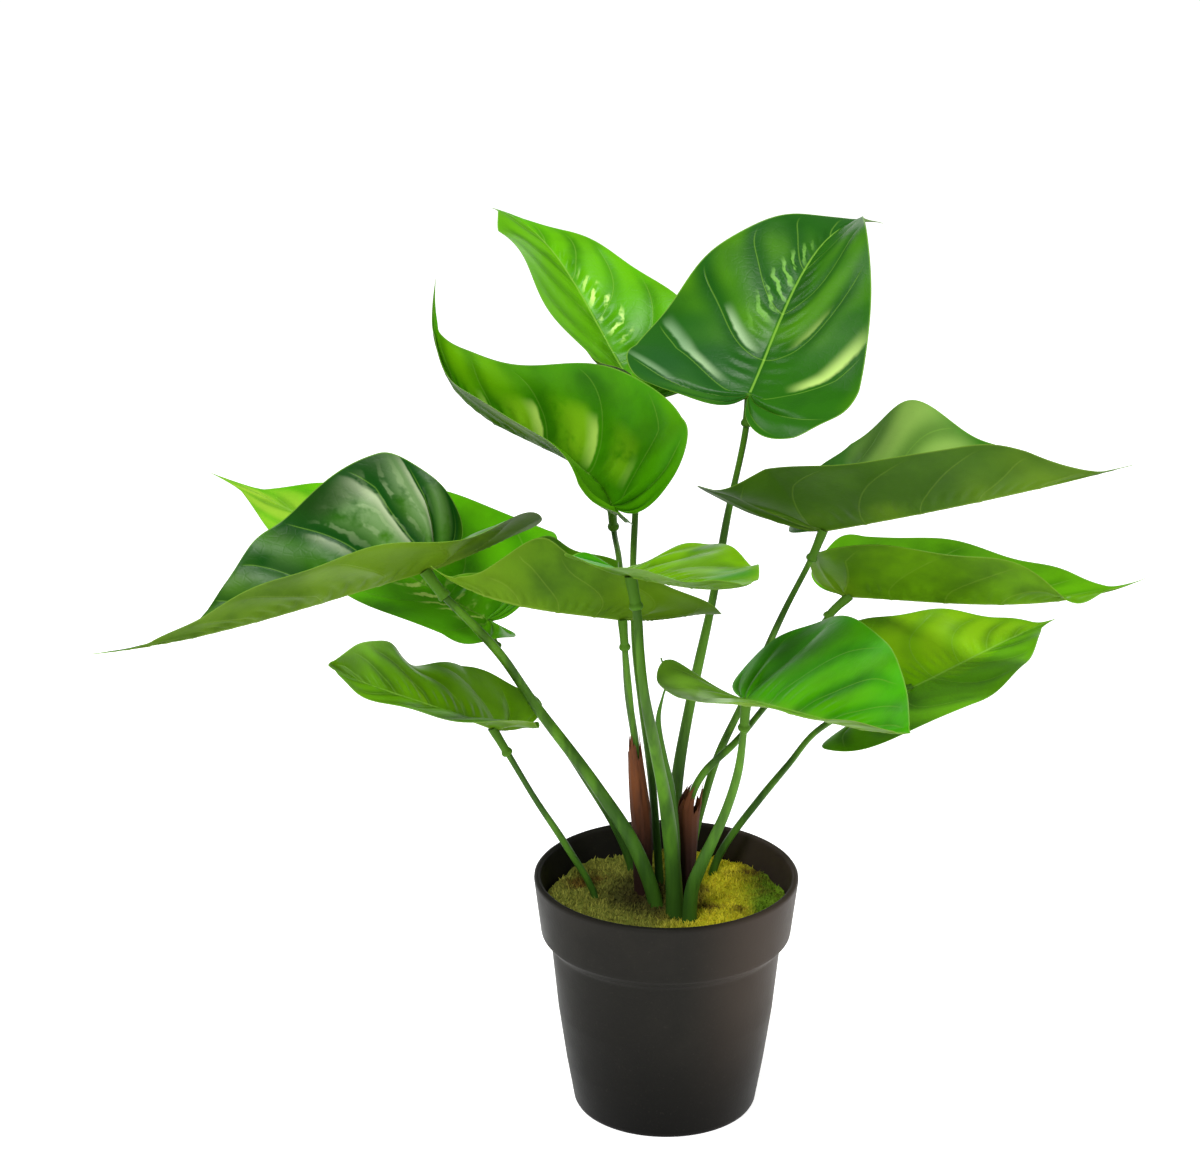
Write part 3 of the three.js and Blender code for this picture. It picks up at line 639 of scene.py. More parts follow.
print("longest stem in mm:", round(max(stem_route(leaf)[1][-1] for leaf in LEAVES.values())))

# %% [markdown]
# ## Relief of a leaf
# A few main veins spread from the junction and arch towards the tip. Between them the blade is puffed up
# like a quilt, most of all near the junction. Each vein lies in a furrow above and stands out as a rib
# below. A bump texture would leave the highlights flat at this size, so the puffs and ribs are real: the
# sheet moves along its own normals. The finish needs the veins too, so each point keeps its place between
# two veins and its distance from the midrib and from the margin.

# %% Vein lines
ROWS = 150
COLUMNS = 31
FIRST_ROW = 1 / 24
VEIN_SPACING = 0.13
VEIN_BEND = 0.2
VEIN_OFFSET = 0.02
LONG_WOBBLE, SHORT_WOBBLE = 0.16, 0.12


def vein_phase(place, out, signed, seed):
    """Whole numbers lie on a vein: (place - bend*out^1.3)/spacing, plus a wobble that grows with out."""
    wobble = LONG_WOBBLE * np.sin(9 * place + seed + signed)
    wobble = wobble + SHORT_WOBBLE * np.sin(6 * signed + 4 * place + 2 * seed)
    bend = VEIN_BEND * out**1.3 * np.clip((1 - place) / 0.3, 0, 1)
    return (place - bend - VEIN_OFFSET) / VEIN_SPACING + wobble * out


def line_spread(grid, phase):
    """Millimetres of surface for one whole step of phase: one over the length of the phase's gradient."""
    down, across = np.gradient(grid, axis=(0, 1))
    step_down, step_across = np.gradient(phase)
    e, f, g = (down * down).sum(-1), (down * across).sum(-1), (across * across).sum(-1)
    slope = g * step_down**2 - 2 * f * step_down * step_across + e * step_across**2
    return np.clip(np.sqrt(np.maximum(e * g - f * f, 1e-9) / np.maximum(slope, 1e-9)), 0.3, 60)


print("main veins to a side:", round((1 - FIRST_ROW) / VEIN_SPACING))

# %% Puffs and puckers
PUFF_HEIGHT, PUFF_LEVEL = 2.0, 0.55
PUFF_PLACE, PUFF_REACH = 0.3, 0.22
PUCKER_HEIGHT, PUCKERS_TO_A_VEIN = 0.4, 4
PUCKER_OUT, PUCKER_REACH = 0.17, 0.1


def blade_grid(leaf):
    """Both halves as one grid, from the left margin over the midrib to the right, with its parameters."""
    signed = np.linspace(1, -1, 2 * COLUMNS - 1)
    place = np.linspace(FIRST_ROW, 1, ROWS)[:, None] + 0 * signed
    out = np.abs(signed) + 0 * place
    left, right = (half_blade(leaf, side, place, out) for side in (0, 1))
    return np.where((signed > 0)[None, :, None], left, right), place, out, signed + 0 * place


def blade_relief(place, out, phase, seed):
    """Height in mm: |sin(pi*phase)|^0.8 less a level, low at midrib and margin, plus puckers."""
    between = np.abs(np.sin(np.pi * phase)) ** 0.8
    window = np.sin(np.pi * np.clip(out, 0, 1) ** 0.75) ** 0.8 * np.clip((1 - out) / 0.2, 0, 1) ** 0.5
    near = 0.4 + 0.6 * np.exp(-(((place - PUFF_PLACE) / PUFF_REACH) ** 2))
    uneven = 0.75 + 0.25 * np.sin(2.3 * phase + 1.7 * seed)
    puffs = PUFF_HEIGHT * (between - PUFF_LEVEL) * window * near * uneven
    by_midrib = np.exp(-(((out - PUCKER_OUT) / PUCKER_REACH) ** 2)) * np.clip((place - 0.3) / 0.08, 0, 1)
    puckers = PUCKER_HEIGHT * np.sin(2 * np.pi * PUCKERS_TO_A_VEIN * phase + 9 * out) * by_midrib
    return (puffs + puckers) * np.clip((1 - place) / 0.3, 0, 1)


print("vein lines by columns of a leaf:", blade_grid(LEAVES["top_right"])[1].shape)

# %% Blade with relief
BLADE_THICKNESS = 0.5
MIDRIB_WIDTH, MIDRIB_HEIGHT = 1.1, 0.8
SIDE_RIB_WIDTH, SIDE_RIB_HEIGHT = 0.8, 0.3


def blade_mesh(leaf, seed, quilt):
    """The blade as a closed solid: points, triangles, corner UVs and what the finish needs to know."""
    grid, place, out, signed = blade_grid(leaf)
    index = np.arange(place.size).reshape(place.shape)
    middle = COLUMNS - 1
    index[place[:, middle] <= VEIN_START, middle] = index[0, middle]
    index[-1] = index[-1, 0]
    triangles = grid_triangles(index)[:, ::-1]
    phase = vein_phase(place, out, signed, seed)
    spread = line_spread(grid, phase)
    steps = np.linalg.norm(np.diff(grid, axis=1), axis=-1)
    run = np.concatenate([np.zeros((ROWS, 1)), np.cumsum(steps, axis=1)], 1)
    rib = np.abs(run - run[:, middle:middle + 1])
    edge = np.minimum(run, run[:, -1:] - run)
    height = quilt * blade_relief(place, out, phase, seed)
    flat = grid.reshape(-1, 3)
    points = flat + point_normals(flat, triangles) * height.reshape(-1, 1)
    to_vein = np.abs((phase + 0.5) % 1 - 0.5) * spread
    thin = np.clip(edge / 3, 0.45, 1)
    midrib = np.exp(-((rib / MIDRIB_WIDTH) ** 2))
    midrib *= np.clip((place - 0.26) / 0.04, 0, 1) * np.clip(1.2 - place, 0, 1)
    side_rib = np.exp(-((to_vein / SIDE_RIB_WIDTH) ** 2))
    side_rib *= np.clip(1.1 - out, 0, 1) * np.clip((0.95 - place) / 0.2, 0, 1)
    ribs = (MIDRIB_HEIGHT * midrib + SIDE_RIB_HEIGHT * side_rib) * np.clip(edge / 4, 0, 1)
    below = BLADE_THICKNESS / 2 * thin + ribs
    used, inverse = np.unique(triangles, return_inverse=True)
    triangles = inverse.reshape(-1, 3)
    above = (BLADE_THICKNESS / 2 * thin).ravel()[used]
    solid, faces = thicken(points[used], triangles, above, below.ravel()[used])
    uv = np.stack([place.ravel(), 0.5 + 0.5 * signed.ravel()], 1)[used]
    marks = dict(phase=phase, spread=spread, rib=rib, edge=edge)
    marks = {key: np.tile(value.ravel()[used], 2) for key, value in marks.items()}
    marks["upper"] = np.repeat([1.0, 0.0], len(used))
    return solid, faces, np.concatenate([uv, uv])[faces], marks


print("triangles in a blade:", len(blade_mesh(LEAVES["top_right"], 0, 1)[1]))

# %% Sleeve and leaf
SLEEVE_SIDES = 24
SLEEVE_PLACES = [0, 3, 7, 12, 12.6, 13.5, 14.5, SLEEVE_LENGTH]
SLEEVE_SWELL = [0.7, 0.65, 0.45, 0.4, 0.7, 1.1, 1, 0.5]
QUILT = dict(large_left=1.8, upper_left=1.4, back_left=1.2, top_left=1.1, front_right=0.8, back_right=0.7)


def sleeve_mesh(leaf):
    """The sleeve under the blade: a tube that widens into the blade and ends in a knob."""
    route, distance = stem_route(leaf, 1200)
    at = np.linspace(0, SLEEVE_LENGTH, 46)
    swell = np.interp(at, SLEEVE_PLACES, SLEEVE_SWELL)
    return tube(points_at(at, distance, route), (leaf["stem_top"] + swell)[:, None], SLEEVE_SIDES)


def make_leaf(name, leaf, seed, quilt):
    """One leaf piece: its blade and its sleeve, with the sleeve marked for the finish."""
    blade, blade_faces, uv, marks = blade_mesh(leaf, seed, quilt)
    sleeve, sleeve_faces = sleeve_mesh(leaf)
    points = np.concatenate([blade, sleeve])
    faces = np.concatenate([blade_faces, sleeve_faces + len(blade)])
    uv = np.concatenate([uv.reshape(-1, 2), np.full((sleeve_faces.size, 2), 0.5)])
    marks = {key: np.concatenate([value, np.zeros(len(sleeve))]) for key, value in marks.items()}
    marks["sleeve"] = np.repeat([0.0, 1.0], [len(blade), len(sleeve)])
    piece = new_piece(f"blade_{name}", points, faces, uv, marks)
    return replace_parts(piece, f"leaf_{name}")


BLADES = {
    name: make_leaf(name, leaf, seed, QUILT.get(name, 1.0))
    for seed, (name, leaf) in enumerate(LEAVES.items())
}
print("triangles in a leaf:", len(BLADES["top_right"].data.polygons))

# %% [markdown]
# ## The leaf finish
# The upper face has a deep green of painted shade in the furrows and in soft patches, and a yellow-green
# of painted light on the puffs. The veins are thin paler lines of an even width, the margin carries a thin
# pale line of painted edge highlight, and the underside is a duller olive. A painted texture would stretch
# where a leaf curls. This finish reads the vein lines of the relief, so the pale lines lie in their
# furrows. Each half has its own green, with painted light and shade in it, because the two halves face
# the light differently.

# %% Greens of the leaves
PALE_VEIN_AND_EDGE_LIGHT = linear(128, 178, 62)
STEM_GREEN = linear(86, 134, 32)
STEM_DARK = linear(54, 88, 24)
# The greens of the two halves carry painted light and shade, as the halves face the light differently; the
# third is the underside.
LEAF_GREENS_LIT_AND_SHADED = dict(
    top_right=((32, 88, 16), (38, 98, 8), (84, 124, 20)),
    top_left=((86, 158, 4), (84, 166, 2), (86, 128, 18)),
    upper_left=((60, 120, 6), (70, 150, 4), (66, 108, 10)),
    large_left=((50, 108, 18), (18, 74, 14), (88, 122, 22)),
    back_left=((96, 184, 10), (92, 188, 8), (80, 130, 14)),
    centre=((84, 128, 8), (76, 130, 6), (80, 120, 10)),
    centre_front=((110, 164, 12), (52, 146, 6), (84, 128, 18)),
    lower_left=((76, 124, 6), (96, 148, 6), (80, 120, 10)),
    upper_right=((58, 116, 26), (44, 88, 10), (62, 98, 16)),
    middle_right=((90, 160, 8), (86, 140, 10), (90, 138, 8)),
    front_right=((68, 166, 4), (112, 158, 44), (96, 136, 30)),
    back_right=((112, 172, 8), (88, 152, 6), (86, 130, 14)),
)
print("greens of the left half, the right half and the underside:", len(LEAF_GREENS_LIT_AND_SHADED), "leaves")

# %% [markdown]
# ## Painted patches of light and shade
# Light and shade on a leaf are not even. Some soft zones get painted light and others painted shade, folds
# between two veins get a painted dull shine, painted streaks of sheen hug a vein, and finely puckered
# places get painted sheen. Lights can't place these, because the wrinkles that cause them are finer than
# the mesh.
# So each is an oval of another colour, in a pattern that follows the veins.

# %% Patches
# Pattern, place, share across, reach along, reach across, strength and colour.
# Each patch is painted light or painted shade.
LIGHT_AND_SHADE_PATCHES = dict(
    top_right=(
        ("light_and_shade_zone", 0.33, 0.6, 0.2, 0.5, 0.6, (32, 80, 36)),
        ("light_and_shade_zone", 0.62, -0.12, 0.14, 0.14, 0.5, (24, 64, 12)),
        ("pucker_sheen", 0.62, 0.17, 0.16, 0.2, 0.7, (130, 190, 80)),
        ("sheen_stripe", 0.43, 0.36, 0.12, 0.34, 1, (158, 190, 140)),
        ("sheen_stripe", 0.4, 0.75, 0.14, 0.3, 0.7, (140, 176, 130)),
        ("sheen_stripe", 0.43, -0.66, 0.12, 0.5, 1, (176, 210, 110)),
    ),
    top_left=(("pucker_sheen", 0.57, -0.2, 0.13, 0.2, 1, (206, 244, 130)),),
    upper_left=(
        ("fold", 0.54, -0.3, 0.26, 0.34, 0.8, (150, 210, 30)),
        ("sheen_stripe", 0.54, -0.26, 0.24, 0.3, 0.9, (206, 244, 110)),
        ("light_and_shade_zone", 0.4, -0.65, 0.06, 0.5, 0.4, (40, 84, 4)),
        ("light_and_shade_zone", 0.77, -0.7, 0.16, 0.5, 0.8, (124, 196, 10)),
    ),
    large_left=(
        ("fold", 0.36, -0.62, 0.2, 0.5, 0.75, (128, 160, 104)),
        ("sheen_stripe", 0.36, -0.6, 0.2, 0.5, 0.8, (196, 212, 168)),
        ("pucker_sheen", 0.4, -0.6, 0.16, 0.4, 0.28, (176, 198, 146)),
        ("light_and_shade_zone", 0.5, -0.88, 0.14, 0.26, 0.7, (28, 56, 12)),
        ("light_and_shade_zone", 0.62, -0.4, 0.08, 0.3, 0.35, (104, 146, 76)),
        ("light_and_shade_zone", 0.75, -0.6, 0.12, 0.6, 0.45, (96, 142, 40)),
    ),
    back_left=(
        ("light_and_shade_zone", 0.86, 0.2, 0.2, 1.3, 0.7, (164, 200, 60)),
        ("pucker_sheen", 0.41, 0.12, 0.2, 0.32, 1, (206, 236, 120)),
    ),
    centre_front=(
        ("light_and_shade_zone", 0.68, 0.65, 0.14, 0.5, 0.9, (52, 130, 6)),
        ("light_and_shade_zone", 0.42, 0.8, 0.06, 0.4, 0.8, (46, 104, 6)),
    ),
    lower_left=(
        ("light_and_shade_zone", 0.86, -0.6, 0.14, 0.8, 0.7, (58, 94, 6)),
        ("sheen_stripe", 0.6, -0.1, 0.1, 0.4, 0.6, (120, 170, 20)),
    ),
    upper_right=(("light_and_shade_zone", 0.52, 0.78, 0.14, 0.4, 0.8, (154, 192, 92)),),
    front_right=(("light_and_shade_zone", 0.36, 0.8, 0.16, 0.4, 0.6, (34, 88, 4)),),
    back_right=(
        ("light_and_shade_zone", 0.61, 0.52, 0.3, 0.7, 0.6, (150, 200, 16)),
        ("light_and_shade_zone", 0.55, 0, 0.2, 0.35, 0.5, (124, 180, 16)),
    ),
)
print("patches:", sum(len(patches) for patches in LIGHT_AND_SHADE_PATCHES.values()))

# %% Leaf finish


def leaf_finish(name, left, right, under):
    """Green, painted light and shade and pale lines on the upper face, olive below, stem green on the
    sleeve.
    """
    finish = Finish(f"leaf_{name}", 0.34, 0.07)
    place, across = finish.shape_uv()
    signed = across * 2 - 1
    upper, sleeve = finish.attribute("upper"), finish.attribute("sleeve")
    phase, spread = finish.attribute("phase"), finish.attribute("spread")
    rib, edge = finish.attribute("rib"), finish.attribute("edge")
    to_vein = abs((phase + 0.5).fraction() - 0.5)
    fade = edge.step(1.5, 9.0)
    vein = (1 - (to_vein * spread).step(0.12, 0.5)) * fade
    midrib = (1 - rib.step(0.3, 0.9)) * place.step(0.27, 0.3)
    # The pale margin line is a painted edge highlight.
    margin = 1 - edge.step(0.15, 0.8)
    puff = to_vein.step(0.02, 0.4)
    cloud, patch = finish.noise(34, 4, 0.6), finish.noise(14, 2, 0.5)
    # Each half's green carries painted light and shade.
    half = finish.mix(signed.step(-0.1, 0.1), linear(*right), linear(*left))
    # Painted shade: a deep green in the furrows beside the veins and in soft cloudy patches.
    shade = (1 - puff) * fade * patch.step(0.3, 0.6) * 0.3 + cloud.step(0.4, 0.75) * 0.35
    shaded_green = finish.mix(shade, half, linear(12, 62, 6))
    # Painted light: yellow-green on the puffs between the veins.
    lit_and_shaded = finish.mix(puff * patch.step(0.42, 0.62) * 0.28, shaded_green, linear(112, 184, 8))
    # Pale veins and midrib, and the painted edge highlight along the margin.
    lines = vein * 0.3 + midrib * 0.7 + margin * 0.6
    past_vein = phase.fraction()
    ragged = finish.noise(90, 3, 0.6)
    # Patterns of painted light and shade: lit and shaded zones, a painted dull shine on folds, painted
    # sheen streaks by a vein, and painted sheen on fine puckers.
    patterns = dict(
        light_and_shade_zone=0.4 + 0.6 * puff,
        fold=past_vein.step(0.1, 0.3) * (1 - past_vein.step(0.35, 0.95)) * ragged.step(0.25, 0.5),
        sheen_stripe=(past_vein + ragged * 0.1).step(0.1, 0.16) * (1 - past_vein.step(0.1, 0.32)),
        pucker_sheen=(phase * 7 * math.pi + cloud * 16).sine().step(0.2, 0.9) * ragged.step(0.4, 0.52),
    )
    for pattern, at, across_at, tall, wide, strength, tint in LIGHT_AND_SHADE_PATCHES.get(name, ()):
        away = ((place - at) / tall) ** 2 + ((signed - across_at) / wide) ** 2
        share = (1 - away.step(0, 1)) * patterns[pattern] * strength
        lit_and_shaded = finish.mix(share, lit_and_shaded, linear(*tint))
    top = finish.mix(lines, lit_and_shaded, PALE_VEIN_AND_EDGE_LIGHT)
    olive = finish.mix(cloud.step(0.35, 0.65) * 0.5 + (1 - puff) * 0.15, linear(*under), linear(42, 74, 8))
    # Lighter yellow-green in random patches on the underside.
    patchy_olive = finish.mix(patch.step(0.48, 0.62) * 0.35, olive, linear(112, 148, 20))
    below = finish.mix(lines * 0.5, patchy_olive, linear(132, 160, 58))
    blade = finish.mix(upper.step(0.4, 0.6), below, top)
    streak = finish.noise(60, 2, 0.5, (1, 1, 0.15))
    finish.set("Base Color", finish.mix(sleeve, blade, finish.mix(streak, STEM_GREEN, STEM_DARK)))
    finish.set("Roughness", 0.42 - upper * 0.16 + finish.noise(120, 2) * 0.12)
    net = finish.cells(240).step(0.0, 0.15)
    finish.bump(net * 0.2 + finish.noise(420, 2) * 0.4 - vein * 0.8, 0.15, 0.6)
    return finish.material


for name, piece in BLADES.items():
    piece.data.materials.append(leaf_finish(name, *LEAF_GREENS_LIT_AND_SHADED[name]))
print("leaf finishes:", len(LEAF_GREENS_LIT_AND_SHADED))

# %% [markdown]
# ## The stems
# A stem thickens towards its foot and carries faint lengthwise ribs and a few low joints. A bump could
# give the ribs, but the joints show in the outline. So it is the same tube as the sleeve, with a small
# wave in its radius along the route and round it.

# %% Stems
STEM_FLARE = 1.3
STEM_RIBS, RIB_DEPTH = 5, 0.07
JOINT_DEPTH = 0.08


def stem_mesh(leaf, seed):
    """A tube of radius top + (base - top)*share^1.3, less ribs and joints that stay inside that radius."""
    route, distance = stem_route(leaf, 260)
    inside = distance >= SLEEVE_LENGTH - 1
    centres, distance = route[inside], distance[inside]
    share = (distance - distance[0]) / (distance[-1] - distance[0])
    radius = leaf["stem_top"] + (leaf["stem_base"] - leaf["stem_top"]) * share**STEM_FLARE
    ribs = RIB_DEPTH * np.sin(STEM_RIBS * full_turn(TUBE_SIDES) + 0.02 * distance[:, None] + seed)
    joints = JOINT_DEPTH * np.sin(0.11 * distance + seed)[:, None] - JOINT_DEPTH
    return tube(centres, radius[:, None] + ribs - RIB_DEPTH + joints)


# Green with darker lengthwise streaks, and painted shade that makes it duller near the moss.
finish = Finish("stem_green", 0.42, 0.12)
height = finish.axes()[2]
streak = finish.noise(90, 3, 0.6, (1, 1, 0.08))
green = finish.mix(streak.step(0.35, 0.65), STEM_GREEN, STEM_DARK)
# Painted shade: the stem is darker near the moss, under the crown.
low = 1 - height.step(0.11, 0.2)
finish.set("Base Color", finish.mix(low * 0.4, green, linear(46, 88, 34)))
finish.bump(streak + finish.noise(500, 2) * 0.3, 0.15, 0.6)
for seed, (name, leaf) in enumerate(LEAVES.items()):
    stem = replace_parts(new_piece(f"stalk_{name}", *stem_mesh(leaf, seed)), f"stem_{name}")
    stem.data.materials.append(finish.material)
print("stems:", len(LEAVES))

# %% [markdown]
# ## The young leaf
# A new leaf is still rolled up in the crown. It is a spear that ends in a thin tendril. A sheet could be
# rolled up for it, but at this size only its seam shows, so it is a tube with one shallow furrow.

# %% Rolled leaf
SPEAR_ROUTE = [
    (4, -5, 98), (4, -4, 130), (1, -3, 157), (-2, -3, 171), (-4, -3, 189), (-2, -3, 200), (0, -3, 208),
    (-3, -3, 218),
]
SPEAR_RADII = [1.8, 2.2, 2.4, 2.1, 1.2, 0.5, 0.5, 0.4]
SEAM_DEPTH, SEAM_WIDTH, SEAM_ANGLE = 0.12, 0.35, 4.4


def spear_mesh():
    """A tube whose radius follows the height, less a seam that is a bell curve of the turn."""
    foot = (*SPEAR_ROUTE[0][:2], MOSS_TOP - STEM_DEPTH)
    route, _ = smooth_route([foot, *SPEAR_ROUTE], 160)
    heights = [foot[2]] + [point[2] for point in SPEAR_ROUTE]
    radii = np.interp(route[:, 2], heights, [SPEAR_RADII[0], *SPEAR_RADII])
    from_seam = full_turn(TUBE_SIDES) - SEAM_ANGLE + 0.02 * route[:, 2:]
    seam = 1 - SEAM_DEPTH * np.exp(-((from_seam / SEAM_WIDTH) ** 2))
    return tube(route, radii[:, None] * seam)


# Two greens in lengthwise streaks.
finish = Finish("spear_green", 0.38, 0.12)
streak = finish.noise(70, 3, 0.5, (1, 1, 0.1))
finish.set("Base Color", finish.mix(streak, linear(76, 122, 30), linear(36, 76, 18)))
finish.bump(streak, 0.15, 0.5)
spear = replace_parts(new_piece("rolled_leaf", *spear_mesh()), "leaf_spear")
spear.data.materials.append(finish.material)
print("triangles of the rolled leaf:", len(spear.data.polygons))

# %% [markdown]
# ## The dry sheaths
# Two dead sheaths, brown and papery, wrap stems low in the crown. A closed tube would look like a cup, so
# each is a thin sheet rolled a little more than once round the stem, with a torn upper edge.

# %% Sheaths
SHEATHS = dict(
    left=dict(leaf="centre", sections=[(94.3, 4), (120, 5), (142, 5), (162, 4), (182, 2.8)]),
    right=dict(leaf="middle_right", sections=[(94.3, 3.6), (118, 4), (132, 4.8), (146, 5.6), (156, 3.6)]),
)
SHEATH_TURNS, SHEATH_START = 1.12, -2.1
SHEATH_INNER, SHEATH_UNROLL, SHEATH_CREASE = 0.75, 0.55, 0.12
SHEATH_SKIN = 0.12
SMALLEST_RADIUS = 2.5


def sheath_mesh(sheath):
    """A sheet at an angle and height z: the stem's route at z, moved out by the radius there."""
    route, _ = stem_route(LEAVES[sheath["leaf"]], 400)
    heights, radii = np.array(sheath["sections"]).T
    turn = np.linspace(0, 2 * np.pi * SHEATH_TURNS, 64)
    share = np.linspace(0, 1, 70)[:, None]
    torn = 5 * np.sin(3 * turn + 1) + 2.2 * np.sin(11 * turn) + 1.2 * np.sin(23 * turn + 2)
    z = heights[0] + (heights[-1] - 8 + torn - heights[0]) * share
    x, y = (np.interp(z, route[::-1, 2], route[::-1, k]) for k in (0, 1))
    radius = np.interp(z, heights, radii) - SHEATH_INNER + SHEATH_UNROLL * turn / turn[-1]
    radius = np.maximum(radius + SHEATH_CREASE * np.sin(9 * turn + 0.1 * z), SMALLEST_RADIUS)
    angle = turn + SHEATH_START
    grid = np.stack([x + radius * np.cos(angle), y + radius * np.sin(angle), z], -1).reshape(-1, 3)
    triangles = grid_triangles(np.arange(len(grid)).reshape(z.shape))[:, ::-1]
    return thicken(grid, triangles, SHEATH_SKIN, SHEATH_SKIN)


# Brown that is darker near the foot, with dark lengthwise fibres.
finish = Finish("dry_sheath", 0.7, 0.3)
height = finish.axes()[2]
fibre = finish.noise(150, 4, 0.7, (1, 1, 0.07))
brown = finish.mix(height.step(0.115, 0.16), linear(48, 24, 18), linear(108, 58, 22))
finish.set("Base Color", finish.mix(fibre.step(0.4, 0.7) * 0.7, brown, linear(34, 16, 9)))
finish.bump(fibre, 0.4, 0.8)
for side, sheath in SHEATHS.items():
    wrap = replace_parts(new_piece(f"dry_sheath_{side}", *sheath_mesh(sheath)), f"brown_sheath_{side}")
    wrap.data.materials.append(finish.material)
print("sheaths:", len(SHEATHS))

# %% [markdown]
# ## The pot
# The pot is moulded, thick at its rounded rim, with a deeper collar that the wall steps out to. A cone
# would miss these steps, so one profile is turned round the axis, with many sides to keep the outline
# round.

# %% Pot
POT_SIDES = 160
POT_PROFILE = [
    (0, 0), (38, 0), (40.5, 0), (41.4, 0.35), (42, 1.5), (45.5, 22), (49.2, 48), (52.3, 79), (52.5, 80),
    (53.2, 81.2), (56, 84.2), (56.8, 85.2), (57.05, 86.4), (60, 111), (59.9, 112), (59.4, 112.7),
    (58.5, 113), (57.6, 112.7), (57, 112), (56.8, 110), (54.8, 87), (50.3, 81), (39.8, 3), (0, 3),
]


def refine(profile, step=1.5):
    """The same profile with points no further apart than step."""
    profile = np.array(profile, float)
    distance = distance_along(profile)
    return points_at(np.union1d(distance, np.arange(0, distance[-1], step)), distance, profile)


def turned(profile, sides):
    """The profile (radius, height) turned once round the Z axis, closed on the axis at both ends."""
    turn = full_turn(sides)
    radius, height = profile.T[..., None]
    grid = np.stack([radius * np.cos(turn), radius * np.sin(turn), height + 0 * turn], -1)
    points, triangles = closed_round(grid)
    return points, triangles[:, ::-1]


# Charcoal with painted shade that makes it darkest at the foot and painted light on the lit side, with pale
# specks.
finish = Finish("pot_charcoal", 0.5, 0.06)
mottle = finish.noise(16, 4, 0.6)
east, _, height = finish.axes()
plain = finish.mix(mottle.step(0.35, 0.7), linear(30, 29, 26), linear(38, 36, 32))
# Painted light: lighter and browner on the lit, east side.
lit_side = finish.mix(east.step(0.005, 0.05), plain, linear(64, 55, 48))
# Painted shade: nearly black at the foot.
grey = finish.mix((1 - height.step(0, 0.08)) * 0.85, lit_side, linear(7, 7, 6))
specks = finish.noise(900, 2).step(0.6, 0.75) * 0.15
finish.set("Base Color", finish.mix(specks, grey, linear(60, 55, 48)))
finish.set("Roughness", finish.noise(60, 3) * 0.2 + 0.34)
finish.bump(finish.noise(700, 3), 0.12, 0.4)
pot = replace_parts(new_piece("moulded_pot", *turned(refine(POT_PROFILE), POT_SIDES), sharp=40), "pot")
pot.data.materials.append(finish.material)
print("pot triangles:", len(pot.data.polygons))

# %% [markdown]
# ## The moss
# The moss is low cushions of many short sprigs. Hair could give these, but hair isn't a mesh. So the
# cushions are one bumpy sheet over the soil, and the sprigs are one small bent spike repeated thousands
# of times, each turned, leaned and scaled by its own draw.

# %% Bed of moss
MOSS_RADIUS = 55
MOSS_BOTTOM = 94
MOSS_RINGS, MOSS_SIDES = 64, 180
CUSHION_HEIGHT, LUMP_HEIGHT = 1.3, 0.7
BUMP_HEIGHTS = 0.5, 0.35
BED_DEPTH = 0.8


def moss_height(x, y):
    """Two long waves and a shorter one, as in the plain solid, in mm."""
    cushions = CUSHION_HEIGHT * np.sin(0.13 * x + 1) * np.cos(0.15 * y - 0.4)
    return MOSS_TOP + cushions + LUMP_HEIGHT * np.sin(0.33 * x + 0.21 * y) * np.cos(0.27 * y - 0.3 * x)


def moss_bumps(x, y):
    """Crossed waves and lower, finer ones, which stand on the cushions, in mm."""
    coarse = BUMP_HEIGHTS[0] * np.sin(1.1 * x + 0.6 * y) * np.sin(0.9 * y - 0.7 * x)
    return coarse + BUMP_HEIGHTS[1] * np.sin(2.3 * x) * np.sin(2.1 * y + 1)


def moss_bed():
    """Rings of points round the axis, on top at the moss height less a little, with a flat underside."""
    radius = np.concatenate([[0], np.linspace(0.6, MOSS_RADIUS - 0.6, MOSS_RINGS), [MOSS_RADIUS - 1, 0]])
    turn = full_turn(MOSS_SIDES)
    x, y = radius[:, None] * np.cos(turn), radius[:, None] * np.sin(turn)
    z = moss_height(x, y) - BED_DEPTH + moss_bumps(x, y)
    z[-2:] = MOSS_BOTTOM
    return closed_round(np.stack([x, y, z], -1))


bed, bed_faces = moss_bed()
print("triangles of the bed of moss:", len(bed_faces))

# %% Sprigs
MOSS_SEED = 7
SPRIGS = 9000
SPRIG_HEIGHT, SPRIG_LEAN, SPRIG_WIDTH = (1.2, 2.6), (0.4, 1.9), (0.28, 0.55)
SPRIG_TAPER = np.array([1, 0.75, 0.12])
SPRIG_DEPTH = 1.3


